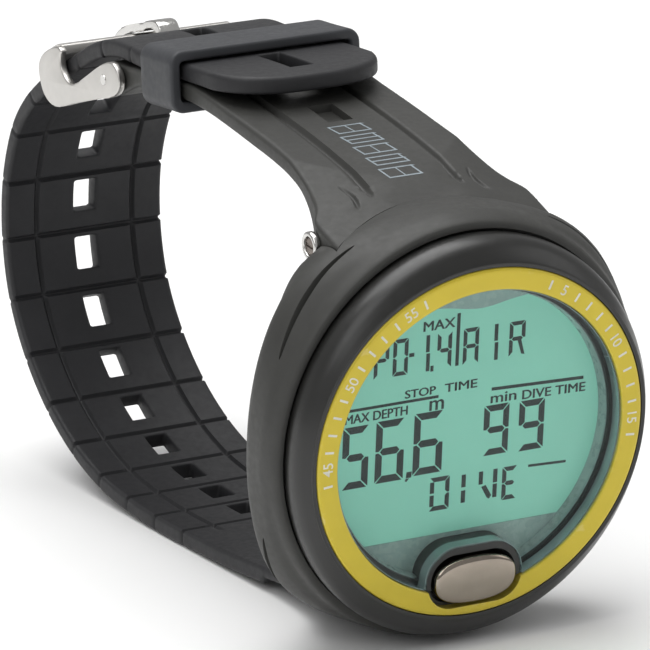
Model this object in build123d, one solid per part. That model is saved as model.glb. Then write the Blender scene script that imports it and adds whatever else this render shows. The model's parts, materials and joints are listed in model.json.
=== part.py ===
from build123d import *
import math
import os

os.makedirs("parts", exist_ok=True)

# ---------------------------------------------------------------- driving dimensions, mm
# Working frame: the display looks along -Y, +Z is twelve o'clock, +X is three o'clock.
# "Depth" d is the distance behind the yellow ring's front face, along +Y.
RING_R_OUT = 28.0          # bezel ring, outside radius
RING_R_IN = 24.5
RING_T = 1.6
CRYSTAL_R = 24.4
CRYSTAL_D0, CRYSTAL_D1 = 0.35, 2.55
LCD_D = 5.0                # depth of the LCD's front face
LCD_R = 23.2
LCD_Z0, LCD_Z1 = -16.0, 21.2
CASE_ZC = -0.3             # the oval case is centred a little below the ring
BACK_D = 20.0              # depth of the case's back face
PIN_D, PIN_Z, PIN_R = 20.6, 27.3, 1.25   # lug pins
EAR_X = 18.6               # half width of the strap's flared ends
LUG_X = 10.8
BTN_Z, BTN_HX, BTN_HZ = -22.1, 7.0, 3.78  # button centre and half sizes
BTN_TRAVEL = 0.8
STRAP_HX = 14.5            # strap half width
STRAP_T = 2.8
SLOT_HX, SLOT_L, PITCH = 1.97, 5.5, 10.0
HEEL = (97.5, 28.5)        # buckle pin, depth and height
HEEL_R = 1.2
KEEP_C = (77.5, 35.15)     # middle of the keeper, depth and height
STRAIGHT = -0.17           # slope of the straps under the keeper
TILT = 6.9                 # first value of the lean, refined below


def tag(shape, name, rgb):
    shape.label = name
    shape.color = Color(*rgb)
    return shape


def front(shape):
    """From a sketch frame (x right, y up, z towards the viewer) to the working frame."""
    return Rot(90, 0, 0) * shape


def cyl(r, d0, d1, x=0.0, z=0.0):
    return front(Pos(x, z, -d1) * Cylinder(r, d1 - d0, align=(Align.CENTER, Align.CENTER, Align.MIN)))


def tube(r1, r0, d0, d1, x=0.0, z=0.0):
    return cyl(r1, d0, d1, x, z) - cyl(r0, d0 - 0.5, d1 + 0.5, x, z)


def box(x0, x1, y0, y1, z0, z1):
    return Pos((x0 + x1) / 2, (y0 + y1) / 2, (z0 + z1) / 2) * Box(x1 - x0, y1 - y0, z1 - z0)


def xcyl(r, x0, x1, y, z):
    return Pos(x0, y, z) * Rot(0, 90, 0) * Cylinder(r, x1 - x0, align=(Align.CENTER, Align.CENTER, Align.MIN))


def stadium(hx, hz, d0, d1, zc=BTN_Z):
    sk = Pos(0, zc, -d1) * SlotOverall(2 * hx, 2 * hz)
    return front(extrude(sk, d1 - d0))


def oval(a, b, d0, d1, zc=CASE_ZC):
    return front(extrude(Pos(0, zc, -d1) * Ellipse(a, b), d1 - d0))


def oval_loft(rows):
    """rows of (depth, half width, half height, centre height)"""
    return front(loft([Pos(0, zc, -d) * Ellipse(a, b) for d, a, b, zc in rows]))


def slab(points, x0, x1):
    """A prism along X with a closed outline of (depth, height) points."""
    wire = Wire.make_polygon([Vector(x0, p[0], p[1]) for p in points], close=True)
    return extrude(Face(wire), amount=x1 - x0, dir=(1, 0, 0))


def smooth_slab(chains, x0, x1):
    """A prism along X whose outline is a run of splines (3+ points) and lines (2 points)."""
    edges = []
    for chain in chains:
        pts = [Vector(x0, p[0], p[1]) for p in chain]
        edges.append(Line(pts[0], pts[1]) if len(pts) == 2 else Spline(*pts))
    wire = Wire([e.edge() if hasattr(e, "edge") else e for e in edges])
    return extrude(Face(wire), amount=x1 - x0, dir=(1, 0, 0))


# ---------------------------------------------------------------- strap path
INNER = [(42.0, -34.6), (53.5, -36.8), (64.1, -38.4), (76.0, -40.1), (86.9, -41.05), (98.3, -41.04),
         (108.4, -39.2), (117.9, -35.3), (126.0, -29.5), (132.2, -21.8), (135.3, -12.6), (135.5, -2.6),
         (132.5, 7.0), (128.6, 12.4), (123.8, 16.7), (118.5, 20.5), (112.1, 24.7), (103.7, 29.75),
         (97.5, 32.15), (92.0, 33.0), (88.0, 33.415), (85.0, 33.925), (77.5, 35.2), (71.0, 36.305),
         (66.0, 37.1), (60.0, 37.95), (54.4, 38.6)]


def catmull(points, per=10):
    out = []
    n = len(points)
    for i in range(n - 1):
        p0 = points[max(i - 1, 0)]
        p1, p2 = points[i], points[i + 1]
        p3 = points[min(i + 2, n - 1)]
        # centripetal parameters
        t0 = 0.0
        t1 = t0 + max(math.dist(p0, p1), 1e-6) ** 0.5 if p0 != p1 else t0 + 1.0
        t2 = t1 + math.dist(p1, p2) ** 0.5
        t3 = t2 + (math.dist(p2, p3) ** 0.5 if p2 != p3 else 1.0)
        for k in range(per):
            t = t1 + (t2 - t1) * k / per
            if p0 == p1:
                a1 = p1
            else:
                a1 = [((t1 - t) * u + (t - t0) * v) / (t1 - t0) for u, v in zip(p0, p1)]
            a2 = [((t2 - t) * u + (t - t1) * v) / (t2 - t1) for u, v in zip(p1, p2)]
            if p2 == p3:
                a3 = p2
            else:
                a3 = [((t3 - t) * u + (t - t2) * v) / (t3 - t2) for u, v in zip(p2, p3)]
            b1 = [((t2 - t) * u + (t - t0) * v) / (t2 - t0) for u, v in zip(a1, a2)]
            b2 = [((t3 - t) * u + (t - t1) * v) / (t3 - t1) for u, v in zip(a2, a3)]
            out.append(tuple(((t2 - t) * u + (t - t1) * v) / (t2 - t1) for u, v in zip(b1, b2)))
    out.append(tuple(points[-1]))
    return out


PATH = catmull(INNER)
ARC = [0.0]
for a, b in zip(PATH, PATH[1:]):
    ARC.append(ARC[-1] + math.dist(a, b))
S_B = ARC[12 * 10]          # the groove line that the cells are counted from


def at(arc):
    """Point and outward normal of the strap's inner face at an arc length from its start."""
    i = max(0, min(len(ARC) - 2, next((k for k in range(len(ARC) - 1) if ARC[k + 1] >= arc), len(ARC) - 2)))
    f = (arc - ARC[i]) / (ARC[i + 1] - ARC[i])
    p = tuple(u + (v - u) * f for u, v in zip(PATH[i], PATH[i + 1]))
    j0, j1 = max(0, i - 1), min(len(PATH) - 1, i + 2)
    ty, tz = PATH[j1][0] - PATH[j0][0], PATH[j1][1] - PATH[j0][1]
    length = math.hypot(ty, tz)
    return p, (tz / length, -ty / length)


def thickness(arc):
    return STRAP_T


def band(n=64):
    inner, outer = [], []
    for k in range(n + 1):
        arc = ARC[-1] * k / n
        (y, z), (ny, nz) = at(arc)
        t = thickness(arc)
        inner.append((y, z))
        outer.append((y + ny * t, z + nz * t))
    return inner, outer


parts = {}

# ---------------------------------------------------------------- case body
rim = oval_loft([(0.9, 28.75, 29.4, -0.1), (1.7, 29.55, 30.9, -0.3), (3.2, 30.25, 32.0, -0.4),
                 (5.0, 30.3, 32.2, -0.4), (7.4, 29.8, 31.8, -0.4)])
rim_lip = cyl(28.72, 0.25, 1.0)
rim += rim_lip
core = oval(28.6, 30.6, 7.3, 16.2) + oval_loft([(16.1, 28.6, 30.6, CASE_ZC), (BACK_D, 26.2, 28.4, CASE_ZC)])
body = rim + core
# seat for the ring, the crystal's ledge and the display cavity
body -= cyl(RING_R_OUT + 0.06, -1.0, RING_T + 0.05)
body -= cyl(CRYSTAL_R + 0.1, -1.0, CRYSTAL_D1 + 0.3)
body -= cyl(23.6, 2.0, 13.0)
body -= cyl(20.5, 12.0, 17.7)
# recess for the back plate and groove for its gasket
plate_recess = cyl(24.75, 17.6, 21.0) & box(-30, 30, 17.6, 21.0, -22.75, 22.75)
body -= plate_recess
body -= tube(21.75, 20.95, 16.9, 17.7)
# button boss: a raised stadium in front and a tower behind it
boss = stadium(8.2, 5.3, 0.7, 5.6) & cyl(24.3, 0.0, 6.0)
boss += stadium(8.2, 5.3, 1.7, 5.6) & cyl(27.0, 1.7, 6.0)
boss += cyl(3.6, 5.5, 8.4, 0, BTN_Z) & cyl(24.4, 5.0, 9.0)
body += boss
body -= stadium(BTN_HX + 0.32, BTN_HZ + 0.32, -1.0, 4.0)
body -= cyl(2.5, 3.9, 5.6, 0, BTN_Z)
body -= cyl(1.92, 6.2, 6.95, 0, BTN_Z)
body -= cyl(1.25, 3.9, 9.0, 0, BTN_Z)
# holes for the back screws
SCREWS = [(sx * 18.6, sz * 13.2) for sx in (-1, 1) for sz in (-1, 1)]
for x, z in SCREWS:
    body -= cyl(0.8, 14.0, 18.0, x, z)


def seam(off):
    """Prism behind the concave seam where a strap's end meets the case: depth > 19.8 - x^2/55 + off"""
    pts = [Vector(x, 19.8 - x * x / 55.0 + off, 0) for x in (-26, -20, -14, -7, 0, 7, 14, 20, 26)]
    edge = Spline(*pts)
    wire = Wire([edge.edge(), Line(pts[-1], Vector(26, 60, 0)).edge(), Line(Vector(26, 60, 0), Vector(-26, 60, 0)).edge(),
                 Line(Vector(-26, 60, 0), pts[0]).edge()])
    return extrude(Face(wire), amount=30, dir=(0, 0, 1))


LUG_R = 2.6


def lug(sign):
    out = box(-LUG_X, LUG_X, 14.5, PIN_D, 23.0, PIN_Z + LUG_R) + box(-LUG_X, LUG_X, 14.5, PIN_D + LUG_R, 25.2, PIN_Z)
    out += xcyl(LUG_R, -LUG_X, LUG_X, PIN_D, PIN_Z)
    out -= xcyl(PIN_R + 0.03, -LUG_X - 1, LUG_X + 1, PIN_D, PIN_Z)
    return out if sign > 0 else mirror(out, Plane.XY)


pocket = (Pos(0, 0, 23.4) * seam(-0.12)) & box(-EAR_X - 0.35, EAR_X + 0.35, 5, 60, 0, 60)
screw_well = xcyl(2.75, EAR_X - 0.2, 30, PIN_D, PIN_Z) + xcyl(2.75, -30, -EAR_X + 0.2, PIN_D, PIN_Z)
pocket = pocket + screw_well
pocket_low = mirror(pocket, Plane.XY)
body = body - pocket - pocket_low
body = body + lug(1) + lug(-1)
for s in (1, -1):
    body -= xcyl(PIN_R + 0.03, -LUG_X - 2, LUG_X + 2, PIN_D, s * PIN_Z)
parts["case_body"] = tag(body, "case_body", (0.06, 0.06, 0.06))

# ---------------------------------------------------------------- outer guard
# ratio to the widest oval at angles from twelve o'clock round to the flank; the shoulders beside the straps are full
SH_ANG = (90, 104, 114, 124, 131, 138, 143, 148, 152, 156, 162, 168, 174, 180)
SH_10 = (1.000, 1.000, 1.002, 1.016, 1.024, 1.028, 1.028, 1.025, 1.020, 1.015, 1.009, 1.004, 1.001, 1.000)
SH_14 = (0.990, 0.994, 1.012, 1.040, 1.055, 1.063, 1.063, 1.055, 1.045, 1.035, 1.020, 1.008, 1.000, 0.997)
SH_17 = (0.977, 0.981, 0.994, 1.020, 1.033, 1.026, 0.998, 0.980, 0.969, 0.960, 0.951, 0.944, 0.941, 0.940)
SH_20 = (0.955, 0.957, 0.962, 0.970, 0.968, 0.945, 0.918, 0.898, 0.888, 0.881, 0.874, 0.869, 0.866, 0.865)


def full(angles, values, deg):
    """Value at an angle, folded so that all four quarters match, eased between the listed angles."""
    a = abs((deg + 180.0) % 360.0 - 180.0)
    a = 180.0 - a if a < 90.0 else a
    for k in range(len(angles) - 1):
        if a <= angles[k + 1]:
            f = (a - angles[k]) / (angles[k + 1] - angles[k])
            return values[k] + (values[k + 1] - values[k]) * f
    return values[-1]


def guard_section(depth, values, n=56):
    pts = []
    for k in range(n):
        deg = 360.0 * (k + 0.5) / n
        r = sum(full(SH_ANG, values, deg + o) for o in (-3.0, 0.0, 3.0)) / 3.0 if isinstance(values, tuple) else 1.0
        ax, az = (32.3 * r, 34.25 * r) if isinstance(values, tuple) else values
        t = math.radians(deg)
        pts.append(Vector(ax * math.cos(t), CASE_ZC + az * math.sin(t), -depth))
    return Face(Wire([Spline(*pts, periodic=True).edge()]))


guard = front(loft([guard_section(6.3, [31.25, 33.25]), guard_section(7.2, [31.95, 33.95]), guard_section(10.0, SH_10),
                    guard_section(14.0, SH_14), guard_section(17.5, SH_17), guard_section(20.3, SH_20)]))
guard -= oval(30.75, 32.75, 5.0, 7.75)
guard -= oval(28.65, 30.65, 7.0, 16.25)
guard -= oval_loft([(16.2, 28.65, 30.65, CASE_ZC), (21.0, 25.65, 27.85, CASE_ZC)])
lug_way = box(-LUG_X - 0.06, LUG_X + 0.06, 14.44, 24, 22.0, PIN_Z + LUG_R + 0.06) + xcyl(PIN_R + 0.1, -EAR_X, EAR_X, PIN_D, PIN_Z)
guard = guard - pocket - pocket_low - lug_way - mirror(lug_way, Plane.XY)
parts["outer_guard"] = tag(guard, "outer_guard", (0.12, 0.12, 0.12))

# ---------------------------------------------------------------- ring, crystal and display
ring = cyl(RING_R_OUT, 0.0, RING_T)
ring = chamfer(ring.edges().filter_by(GeomType.CIRCLE).group_by(Axis.Y)[0], 0.35)
ring -= cyl(RING_R_IN, -1, 3)
ring -= stadium(BTN_HX + 1.15, BTN_HZ + 0.55, -1, 3)
parts["bezel_ring"] = tag(ring, "bezel_ring", (0.80, 0.70, 0.12))

crystal = cyl(CRYSTAL_R, CRYSTAL_D0, CRYSTAL_D1) - stadium(8.3, 5.4, -1, 4)
parts["crystal"] = tag(crystal, "crystal", (0.8, 0.9, 0.9))
gasket = tube(CRYSTAL_R, 23.65, CRYSTAL_D1, CRYSTAL_D1 + 0.28) - stadium(8.3, 5.4, -1, 4)
parts["crystal_gasket"] = tag(gasket, "crystal_gasket", (0.03, 0.03, 0.03))

window = box(-40, 40, LCD_D, 6.9, LCD_Z0, LCD_Z1)
lcd = (cyl(LCD_R, LCD_D, 6.8) & window)
parts["lcd_panel"] = tag(lcd, "lcd_panel", (0.45, 0.65, 0.58))
frame_disc = cyl(23.5, LCD_D - 0.1, 6.0) - box(-40, 40, 0, 8, LCD_Z0 - 0.1, LCD_Z1 + 0.1) - stadium(8.3, 5.4, -1, 8)
frame_ring = tube(23.5, LCD_R + 0.05, LCD_D - 0.1, 6.0) - stadium(8.3, 5.4, -1, 8)
display_frame = frame_disc + frame_ring
parts["display_frame"] = tag(display_frame, "display_frame", (0.40, 0.46, 0.42))


# LCD segments: seven-segment figures and bars, as thin plates on the panel's front
SEG = {"0": "abcdef", "5": "acdfg", "6": "acdefg", "9": "abcdfg"}


def seg_boxes(ch, x, z, w, h, t):
    m, g = t / 2, 0.18
    lay = {"a": (x + g, x + w - g, z + h - t, z + h), "d": (x + g, x + w - g, z, z + t),
           "g": (x + t + g, x + w - t - g, z + h / 2 - m, z + h / 2 + m),
           "f": (x, x + t, z + h / 2 + g, z + h - t - g), "e": (x, x + t, z + t + g, z + h / 2 - g),
           "b": (x + w - t, x + w, z + h / 2 + g, z + h - t - g), "c": (x + w - t, x + w, z + t + g, z + h / 2 - g)}
    return [lay[s] for s in SEG[ch]]


cells = []
for ch, x in (("5", -21.1), ("6", -15.1), ("6", -9.0)):
    cells += seg_boxes(ch, x, -5.8, 4.3, 9.8, 0.95)
for ch, x in (("9", 3.3), ("9", 9.4)):
    cells += seg_boxes(ch, x, -4.4, 4.3, 8.0, 0.85)
cells += [(-10.4, -9.4, -5.8, -4.8), (-20.6, -5.0, 6.3, 6.65), (4.3, 20.3, 5.6, 5.95), (11.3, 17.9, -7.8, -7.4),
          (-2.3, -1.95, 11.2, 19.5)]
segs = Compound(children=[box(x0, x1, LCD_D - 0.06, LCD_D - 0.005, z0, z1) for x0, x1, z0, z1 in cells])
parts["lcd_segments"] = tag(segs, "lcd_segments", (0.1, 0.16, 0.15))

light = cyl(21.5, 6.85, 8.0) & box(-40, 40, 6, 9, -13.7, 17.4)
parts["light_guide"] = tag(light, "light_guide", (0.9, 0.95, 0.9))
zebra = Compound(children=[box(-9, 9, 6.85, 10.25, 17.8, 19.4), box(-14, 14, 6.85, 10.25, -15.7, -14.1)])
parts["zebra_connectors"] = tag(zebra, "zebra_connectors", (0.7, 0.7, 0.7))
module = tube(23.3, 21.85, 6.85, 10.25) - box(-4.4, 4.4, 6, 11, -30, -17)
parts["module_frame"] = tag(module, "module_frame", (0.85, 0.85, 0.82))
pcb = cyl(23.2, 10.3, 11.3) - box(-19.9, -13.9, 10, 12, -3.2, 3.2)
parts["circuit_board"] = tag(pcb, "circuit_board", (0.05, 0.3, 0.12))
switch = cyl(1.5, 9.78, 10.28, 0, -21.4)
parts["button_switch"] = tag(switch, "button_switch", (0.8, 0.75, 0.5))

# ---------------------------------------------------------------- battery side
holder = tube(13.6, 12.4, 11.35, 17.1) - box(-3.0, 3.0, 11, 13.5, 11.5, 14.5)
parts["battery_holder"] = tag(holder, "battery_holder", (0.2, 0.2, 0.22))
contact = box(-6, 6, 11.35, 11.6, -2, 2) + box(4.0, 6.0, 11.5, 13.8, -2, 2) + box(-6.0, -4.0, 11.5, 13.8, -2, 2)
parts["battery_contact"] = tag(contact, "battery_contact", (0.8, 0.7, 0.4))
battery = fillet((cyl(12.1, 13.85, 16.85)).edges().filter_by(GeomType.CIRCLE), 0.3)
parts["battery"] = tag(battery, "battery", (0.75, 0.75, 0.75))
sensor = cyl(2.9, 11.6, 16.6, -17.0) + cyl(1.6, 16.5, 17.5, -17.0)
parts["pressure_sensor"] = tag(sensor, "pressure_sensor", (0.7, 0.7, 0.7))
piezo = cyl(3.0, 17.05, 17.55, 16.9)
parts["piezo_buzzer"] = tag(piezo, "piezo_buzzer", (0.8, 0.65, 0.3))
back_gasket = tube(21.7, 21.0, 16.95, 17.58)
parts["back_gasket"] = tag(back_gasket, "back_gasket", (0.03, 0.03, 0.03))

COVER_R = 13.0
plate = (cyl(24.65, 17.6, BACK_D) & box(-30, 30, 17, 21, -22.65, 22.65))
plate -= cyl(COVER_R + 0.06, 17.0, 21.0)
plate -= cyl(14.06, 19.2, 21.0)
plate -= cyl(1.0, 17.0, 21.0, -17.0) + cyl(2.4, 19.1, 21.0, -17.0)
for x, z in SCREWS:
    plate -= cyl(0.85, 17.0, 21.0, x, z) + cyl(1.6, 19.0, 21.0, x, z)
parts["back_plate"] = tag(plate, "back_plate", (0.08, 0.08, 0.08))
port = cyl(2.35, 19.15, 19.9, -17.0)
for a in range(6):
    port -= cyl(0.3, 18, 21, -17.0 + 1.25 * math.cos(a * math.pi / 3), 1.25 * math.sin(a * math.pi / 3))
parts["sensor_port"] = tag(port, "sensor_port", (0.6, 0.6, 0.6))
screw_list = []
for x, z in SCREWS:
    s = cyl(1.5, 19.02, 19.85, x, z) + cyl(0.72, 14.6, 19.1, x, z)
    s -= box(x - 1.1, x + 1.1, 19.45, 20.5, z - 0.18, z + 0.18) + box(x - 0.18, x + 0.18, 19.45, 20.5, z - 1.1, z + 1.1)
    screw_list.append(s.solid())
parts["back_screws"] = tag(Compound(children=screw_list), "back_screws", (0.7, 0.7, 0.7))

cover = cyl(COVER_R, 17.3, 19.3) + cyl(14.0, 19.25, BACK_D + 0.2)
cover -= tube(COVER_R + 0.5, 12.3, 17.9, 18.6)
cover -= box(-7.5, 7.5, 19.2, 21.0, -0.9, 0.9)
parts["battery_cover"] = tag(cover, "battery_cover", (0.1, 0.1, 0.1))
oring = front(Pos(0, 0, -18.25) * Torus(12.66, 0.33))
parts["cover_oring"] = tag(oring, "cover_oring", (0.02, 0.02, 0.02))

# ---------------------------------------------------------------- push button
cap = stadium(BTN_HX, BTN_HZ, -0.45, 2.6)
cap = fillet(cap.edges().group_by(Axis.Y)[0], 0.5)
crown = stadium(BTN_HX - 0.9, BTN_HZ - 0.9, -0.85, -0.4)
crown = chamfer(crown.edges().group_by(Axis.Y)[0], 0.35)
cap = cap + crown
parts["button_cap"] = tag(cap, "button_cap", (0.55, 0.50, 0.46))
stem = cyl(1.2, 2.6, 8.95, 0, BTN_Z) - tube(1.6, 0.85, 8.43, 8.77, 0, BTN_Z)
parts["button_stem"] = tag(stem, "button_stem", (0.75, 0.75, 0.75))
clip = tube(1.42, 0.87, 8.45, 8.75, 0, BTN_Z) - box(-0.35, 0.35, 8, 9.5, BTN_Z, BTN_Z + 3)
parts["button_clip"] = tag(clip, "button_clip", (0.7, 0.7, 0.7))
helix = Helix(pitch=0.75, height=2.4, radius=1.85)
coil = sweep(Plane(origin=helix @ 0, z_dir=helix % 0) * Circle(0.2), path=helix)
coil = front(Pos(0, BTN_Z, -5.38) * coil)
parts["button_spring"] = tag(coil, "button_spring", (0.75, 0.75, 0.75))
b_oring = front(Pos(0, BTN_Z, -6.57) * Torus(1.56, 0.34))
parts["button_oring"] = tag(b_oring, "button_oring", (0.02, 0.02, 0.02))

# ---------------------------------------------------------------- lug pins
for name, s in (("upper", 1), ("lower", -1)):
    pin = xcyl(PIN_R, -18.0, 18.0, PIN_D, s * PIN_Z)
    pin -= xcyl(0.75, -19, -12, PIN_D, s * PIN_Z) + xcyl(0.75, 12, 19, PIN_D, s * PIN_Z)
    parts[name + "_lug_pin"] = tag(pin, name + "_lug_pin", (0.75, 0.75, 0.75))
    pair = []
    for e in (-1, 1):
        head = xcyl(2.25, min(e * 18.65, e * 19.7), max(e * 18.65, e * 19.7), PIN_D, s * PIN_Z)
        head = chamfer(head.edges().filter_by(GeomType.CIRCLE).group_by(Axis.X)[0 if e < 0 else -1], 0.3)
        shank = xcyl(0.72, min(e * 13, e * 18.9), max(e * 13, e * 18.9), PIN_D, s * PIN_Z)
        screw = head + shank
        screw -= box(min(e * 19.2, e * 21), max(e * 19.2, e * 21), PIN_D - 3, PIN_D + 3, s * PIN_Z - 0.3, s * PIN_Z + 0.3)
        pair.append(screw.solid())
    parts[name + "_lug_screws"] = tag(Compound(children=pair), name + "_lug_screws", (0.8, 0.8, 0.8))

# ---------------------------------------------------------------- long strap
inner, outer = band()
run_in = [(24.3, -25.6), (26.0, -28.6), (29.0, -31.2), (34.0, -33.0), (38.0, -33.85)]
run_out = [(20.6, -32.55), (26.0, -33.9), (32.0, -35.3), (37.0, -36.4)]
start = [inner[0]]
chain_in = run_in + inner[:]
chain_out = list(reversed(outer)) + list(reversed(run_out))
ear = xcyl(3.8, -EAR_X, EAR_X, PIN_D, -PIN_Z)
long_strap = smooth_slab([chain_in, [chain_in[-1], chain_out[0]], chain_out,
                          [chain_out[-1], (18.6, -30.5)], [(18.6, -30.5), (18.6, -26.5)], [(18.6, -26.5), chain_in[0]]],
                         -EAR_X, EAR_X)
fill_front = slab([(12.6, -32.3), (20.6, -32.55), (22.5, -30.0), (20.6, -25.6), (12.6, -25.6)], -EAR_X, EAR_X)
long_strap = long_strap + ear + fill_front


def plan():
    """Plan outline of a flared strap: full ear width near the case, its own width beyond, with smooth flanks."""
    flank = [(EAR_X, 20.9), (18.1, 22.0), (17.2, 23.4), (16.5, 25.0), (15.9, 27.2), (15.35, 30.2), (14.95, 33.5), (14.65, 38.0), (STRAP_HX, 43.0)]
    sides = []
    for e in (1, -1):
        pts = [Vector(e * x, y, -80) for x, y in flank]
        curve = Spline(*pts, tangents=[Vector(0, 1, 0), Vector(0, 1, 0)])
        sides.append([Vector(e * EAR_X, 5, -80), pts[0], curve, pts[-1], Vector(e * STRAP_HX, 200, -80)])
    (a0, a1, ac, a2, a3), (b0, b1, bc, b2, b3) = sides
    edges = [Line(a0, a1).edge(), ac.edge(), Line(a2, a3).edge(), Line(a3, b3).edge(), Line(b3, b2).edge(), bc.edge(), Line(b1, b0).edge(), Line(b0, a0).edge()]
    return extrude(Face(Wire(edges)), amount=160, dir=(0, 0, 1))


# the flared ends are arched like the case: height 32.8 + 0.22 (y - 20.5) - 0.0055 x^2
ARCH_SLOPE = math.degrees(math.atan(0.22))
ARCH_R = 1.0 / (2 * 0.0055 * math.cos(math.radians(ARCH_SLOPE)))
arch = (Pos(0, 20.5, 32.8 - ARCH_R / math.cos(math.radians(ARCH_SLOPE))) * Rot(ARCH_SLOPE, 0, 0) * Rot(90, 0, 0) * Cylinder(ARCH_R, 500))

long_strap = long_strap & plan()
long_strap = long_strap & mirror(arch, Plane.XY)
# rounded tail
TAIL_Y, TAIL_R = 54.4, 9.0
tail_pts = [Vector(x, y, 20) for x, y in
            [(-STRAP_HX - 1, TAIL_Y + 13.0)] + [(-STRAP_HX * math.cos(a) ** 0.72, TAIL_Y + 12.0 - 12.0 * math.sin(a) ** 0.85 + 0.02)
                                               for a in [math.radians(t) for t in range(0, 91, 6)]]
            + [(STRAP_HX * math.cos(a) ** 0.72, TAIL_Y + 12.0 - 12.0 * math.sin(a) ** 0.85 + 0.02)
               for a in [math.radians(t) for t in range(84, -1, -6)]] + [(STRAP_HX + 1, TAIL_Y + 13.0), (30, TAIL_Y + 13), (30, 40), (-30, 40), (-30, TAIL_Y + 13)]]
tail_cut = extrude(Face(Wire.make_polygon(tail_pts, close=True)), amount=30, dir=(0, 0, 1))
tail_cut = tail_cut & box(-31, 31, 39, TAIL_Y + 12.9, 36.0, 50)
long_strap = long_strap - tail_cut


def slot_box(s0, length, hx):
    """A slot through the strap, from s0 to s0 + length measured from the reference groove towards the lower lug."""
    mid = S_B - (s0 + length / 2)
    (y, z), (ny, nz) = at(mid)
    ang = math.degrees(math.atan2(nz, ny))
    return Pos(0, y + ny * 1.4, z + nz * 1.4) * Rot(ang, 0, 0) * Box(2 * hx, 9.0, length)


for k in range(-5, 11):
    long_strap -= slot_box(k * PITCH + 1.2, SLOT_L, SLOT_HX)
long_strap -= slot_box(-81.5, 11.5, SLOT_HX)
# room for the case's lug, the pin and the seam with the case
lug_room = (xcyl(LUG_R + 0.12, -LUG_X - 0.15, LUG_X + 0.15, PIN_D, PIN_Z) + box(-LUG_X - 0.15, LUG_X + 0.15, 5, PIN_D, 20, PIN_Z + LUG_R + 0.12)
            + box(-LUG_X - 0.15, LUG_X + 0.15, 5, PIN_D + LUG_R + 0.12, 20, PIN_Z))
seam_front = box(-25, 25, 0, 50, 10, 38) - Pos(0, 0, 9.5) * seam(0.0)
ear_room = xcyl(PIN_R + 0.03, -EAR_X - 1, EAR_X + 1, PIN_D, PIN_Z)
long_strap = long_strap - mirror(lug_room, Plane.XY) - mirror(ear_room, Plane.XY) - mirror(seam_front, Plane.XY)
parts["strap_long"] = tag(long_strap, "strap_long", (0.09, 0.09, 0.10))

# ---------------------------------------------------------------- short strap
short_top = [(20.6, 32.55), (24.0, 33.55), (30.0, 34.6), (37.0, 35.25), (47.0, 35.8), (57.0, 36.15), (65.0, 36.3), (71.0, 36.005 - 0.02),
             (77.5, 34.9), (83.0, 33.965), (88.0, 33.1), (93.0, 32.05), (96.0, 31.55), (97.5, 31.42)]
short_bot = [(97.5, 25.58), (95.5, 26.1), (92.0, 28.2), (88.0, 30.25), (83.0, 31.25), (77.5, 32.2), (71.0, 33.15), (65.0, 33.5), (57.0, 33.4),
             (47.0, 33.0), (37.0, 32.35), (32.0, 31.3), (28.0, 28.9), (25.6, 26.6), (24.3, 25.4)]
heel_arc = [(97.5 + 2.92 * math.cos(a), 28.5 + 2.92 * math.sin(a)) for a in [math.radians(t) for t in range(90, -91, -15)]]
short = smooth_slab([short_top, [short_top[-1]] + heel_arc[1:-1] + [short_bot[0]], short_bot,
                     [short_bot[-1], (18.6, 26.5)], [(18.6, 26.5), (18.6, 30.5)], [(18.6, 30.5), short_top[0]]], -EAR_X, EAR_X)
short = short + xcyl(3.8, -EAR_X, EAR_X, PIN_D, PIN_Z) + slab([(12.6, 32.3), (20.6, 32.55), (22.5, 30.0), (20.6, 25.6), (12.6, 25.6)], -EAR_X, EAR_X)
short = short & plan()
short = short & arch
short = short - lug_room - ear_room - seam_front
short -= xcyl(HEEL_R + 0.05, -20, 20, *HEEL)
short -= box(-3.0, 3.0, 92.6, 102, 20, 40)
short -= box(-2.1, 2.1, 47.5, 54.5, 34.7, 40)
parts["strap_short"] = tag(short, "strap_short", (0.12, 0.12, 0.12))

# ---------------------------------------------------------------- buckle
hook = [(114.4, 28.75), (117.4, 27.45), (120.4, 25.4), (121.45, 23.4), (121.0, 21.4), (119.6, 19.4), (117.6, 18.35), (115.0, 18.25),
        (112.4, 19.1), (105.5, 22.1), (99.0, 24.75), (95.0, 26.3), (92.7, 27.8), (91.9, 29.5), (92.6, 31.2), (94.4, 32.2), (96.3, 31.9),
        (99.5, 30.1), (103.6, 27.3), (107.2, 24.9), (109.4, 24.0), (111.6, 24.4), (113.2, 25.8), (113.5, 27.4), (113.2, 28.3)]
SIDE_X0, SIDE_X1 = 14.9, 16.1
side = smooth_slab([hook + [hook[0]]], SIDE_X0, SIDE_X1)
bar_out = [(114.4, 28.75), (117.4, 27.45), (120.4, 25.4), (121.3, 23.9)]
bar_in = [(120.15, 23.2), (119.3, 24.35), (116.8, 26.15), (113.8, 27.5)]
bar = slab(bar_out + bar_in, -SIDE_X1, SIDE_X1)
buckle = side + mirror(side, Plane.YZ) + bar
buckle -= xcyl(0.9, -20, 20, *HEEL)
parts["buckle_frame"] = tag(buckle, "buckle_frame", (0.8, 0.8, 0.8))
pin = xcyl(HEEL_R, -SIDE_X0 + 0.02, SIDE_X0 - 0.02, *HEEL) + xcyl(0.9, -SIDE_X1 - 0.12, SIDE_X1 + 0.12, *HEEL)
parts["buckle_pin"] = tag(pin, "buckle_pin", (0.8, 0.8, 0.8))

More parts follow.
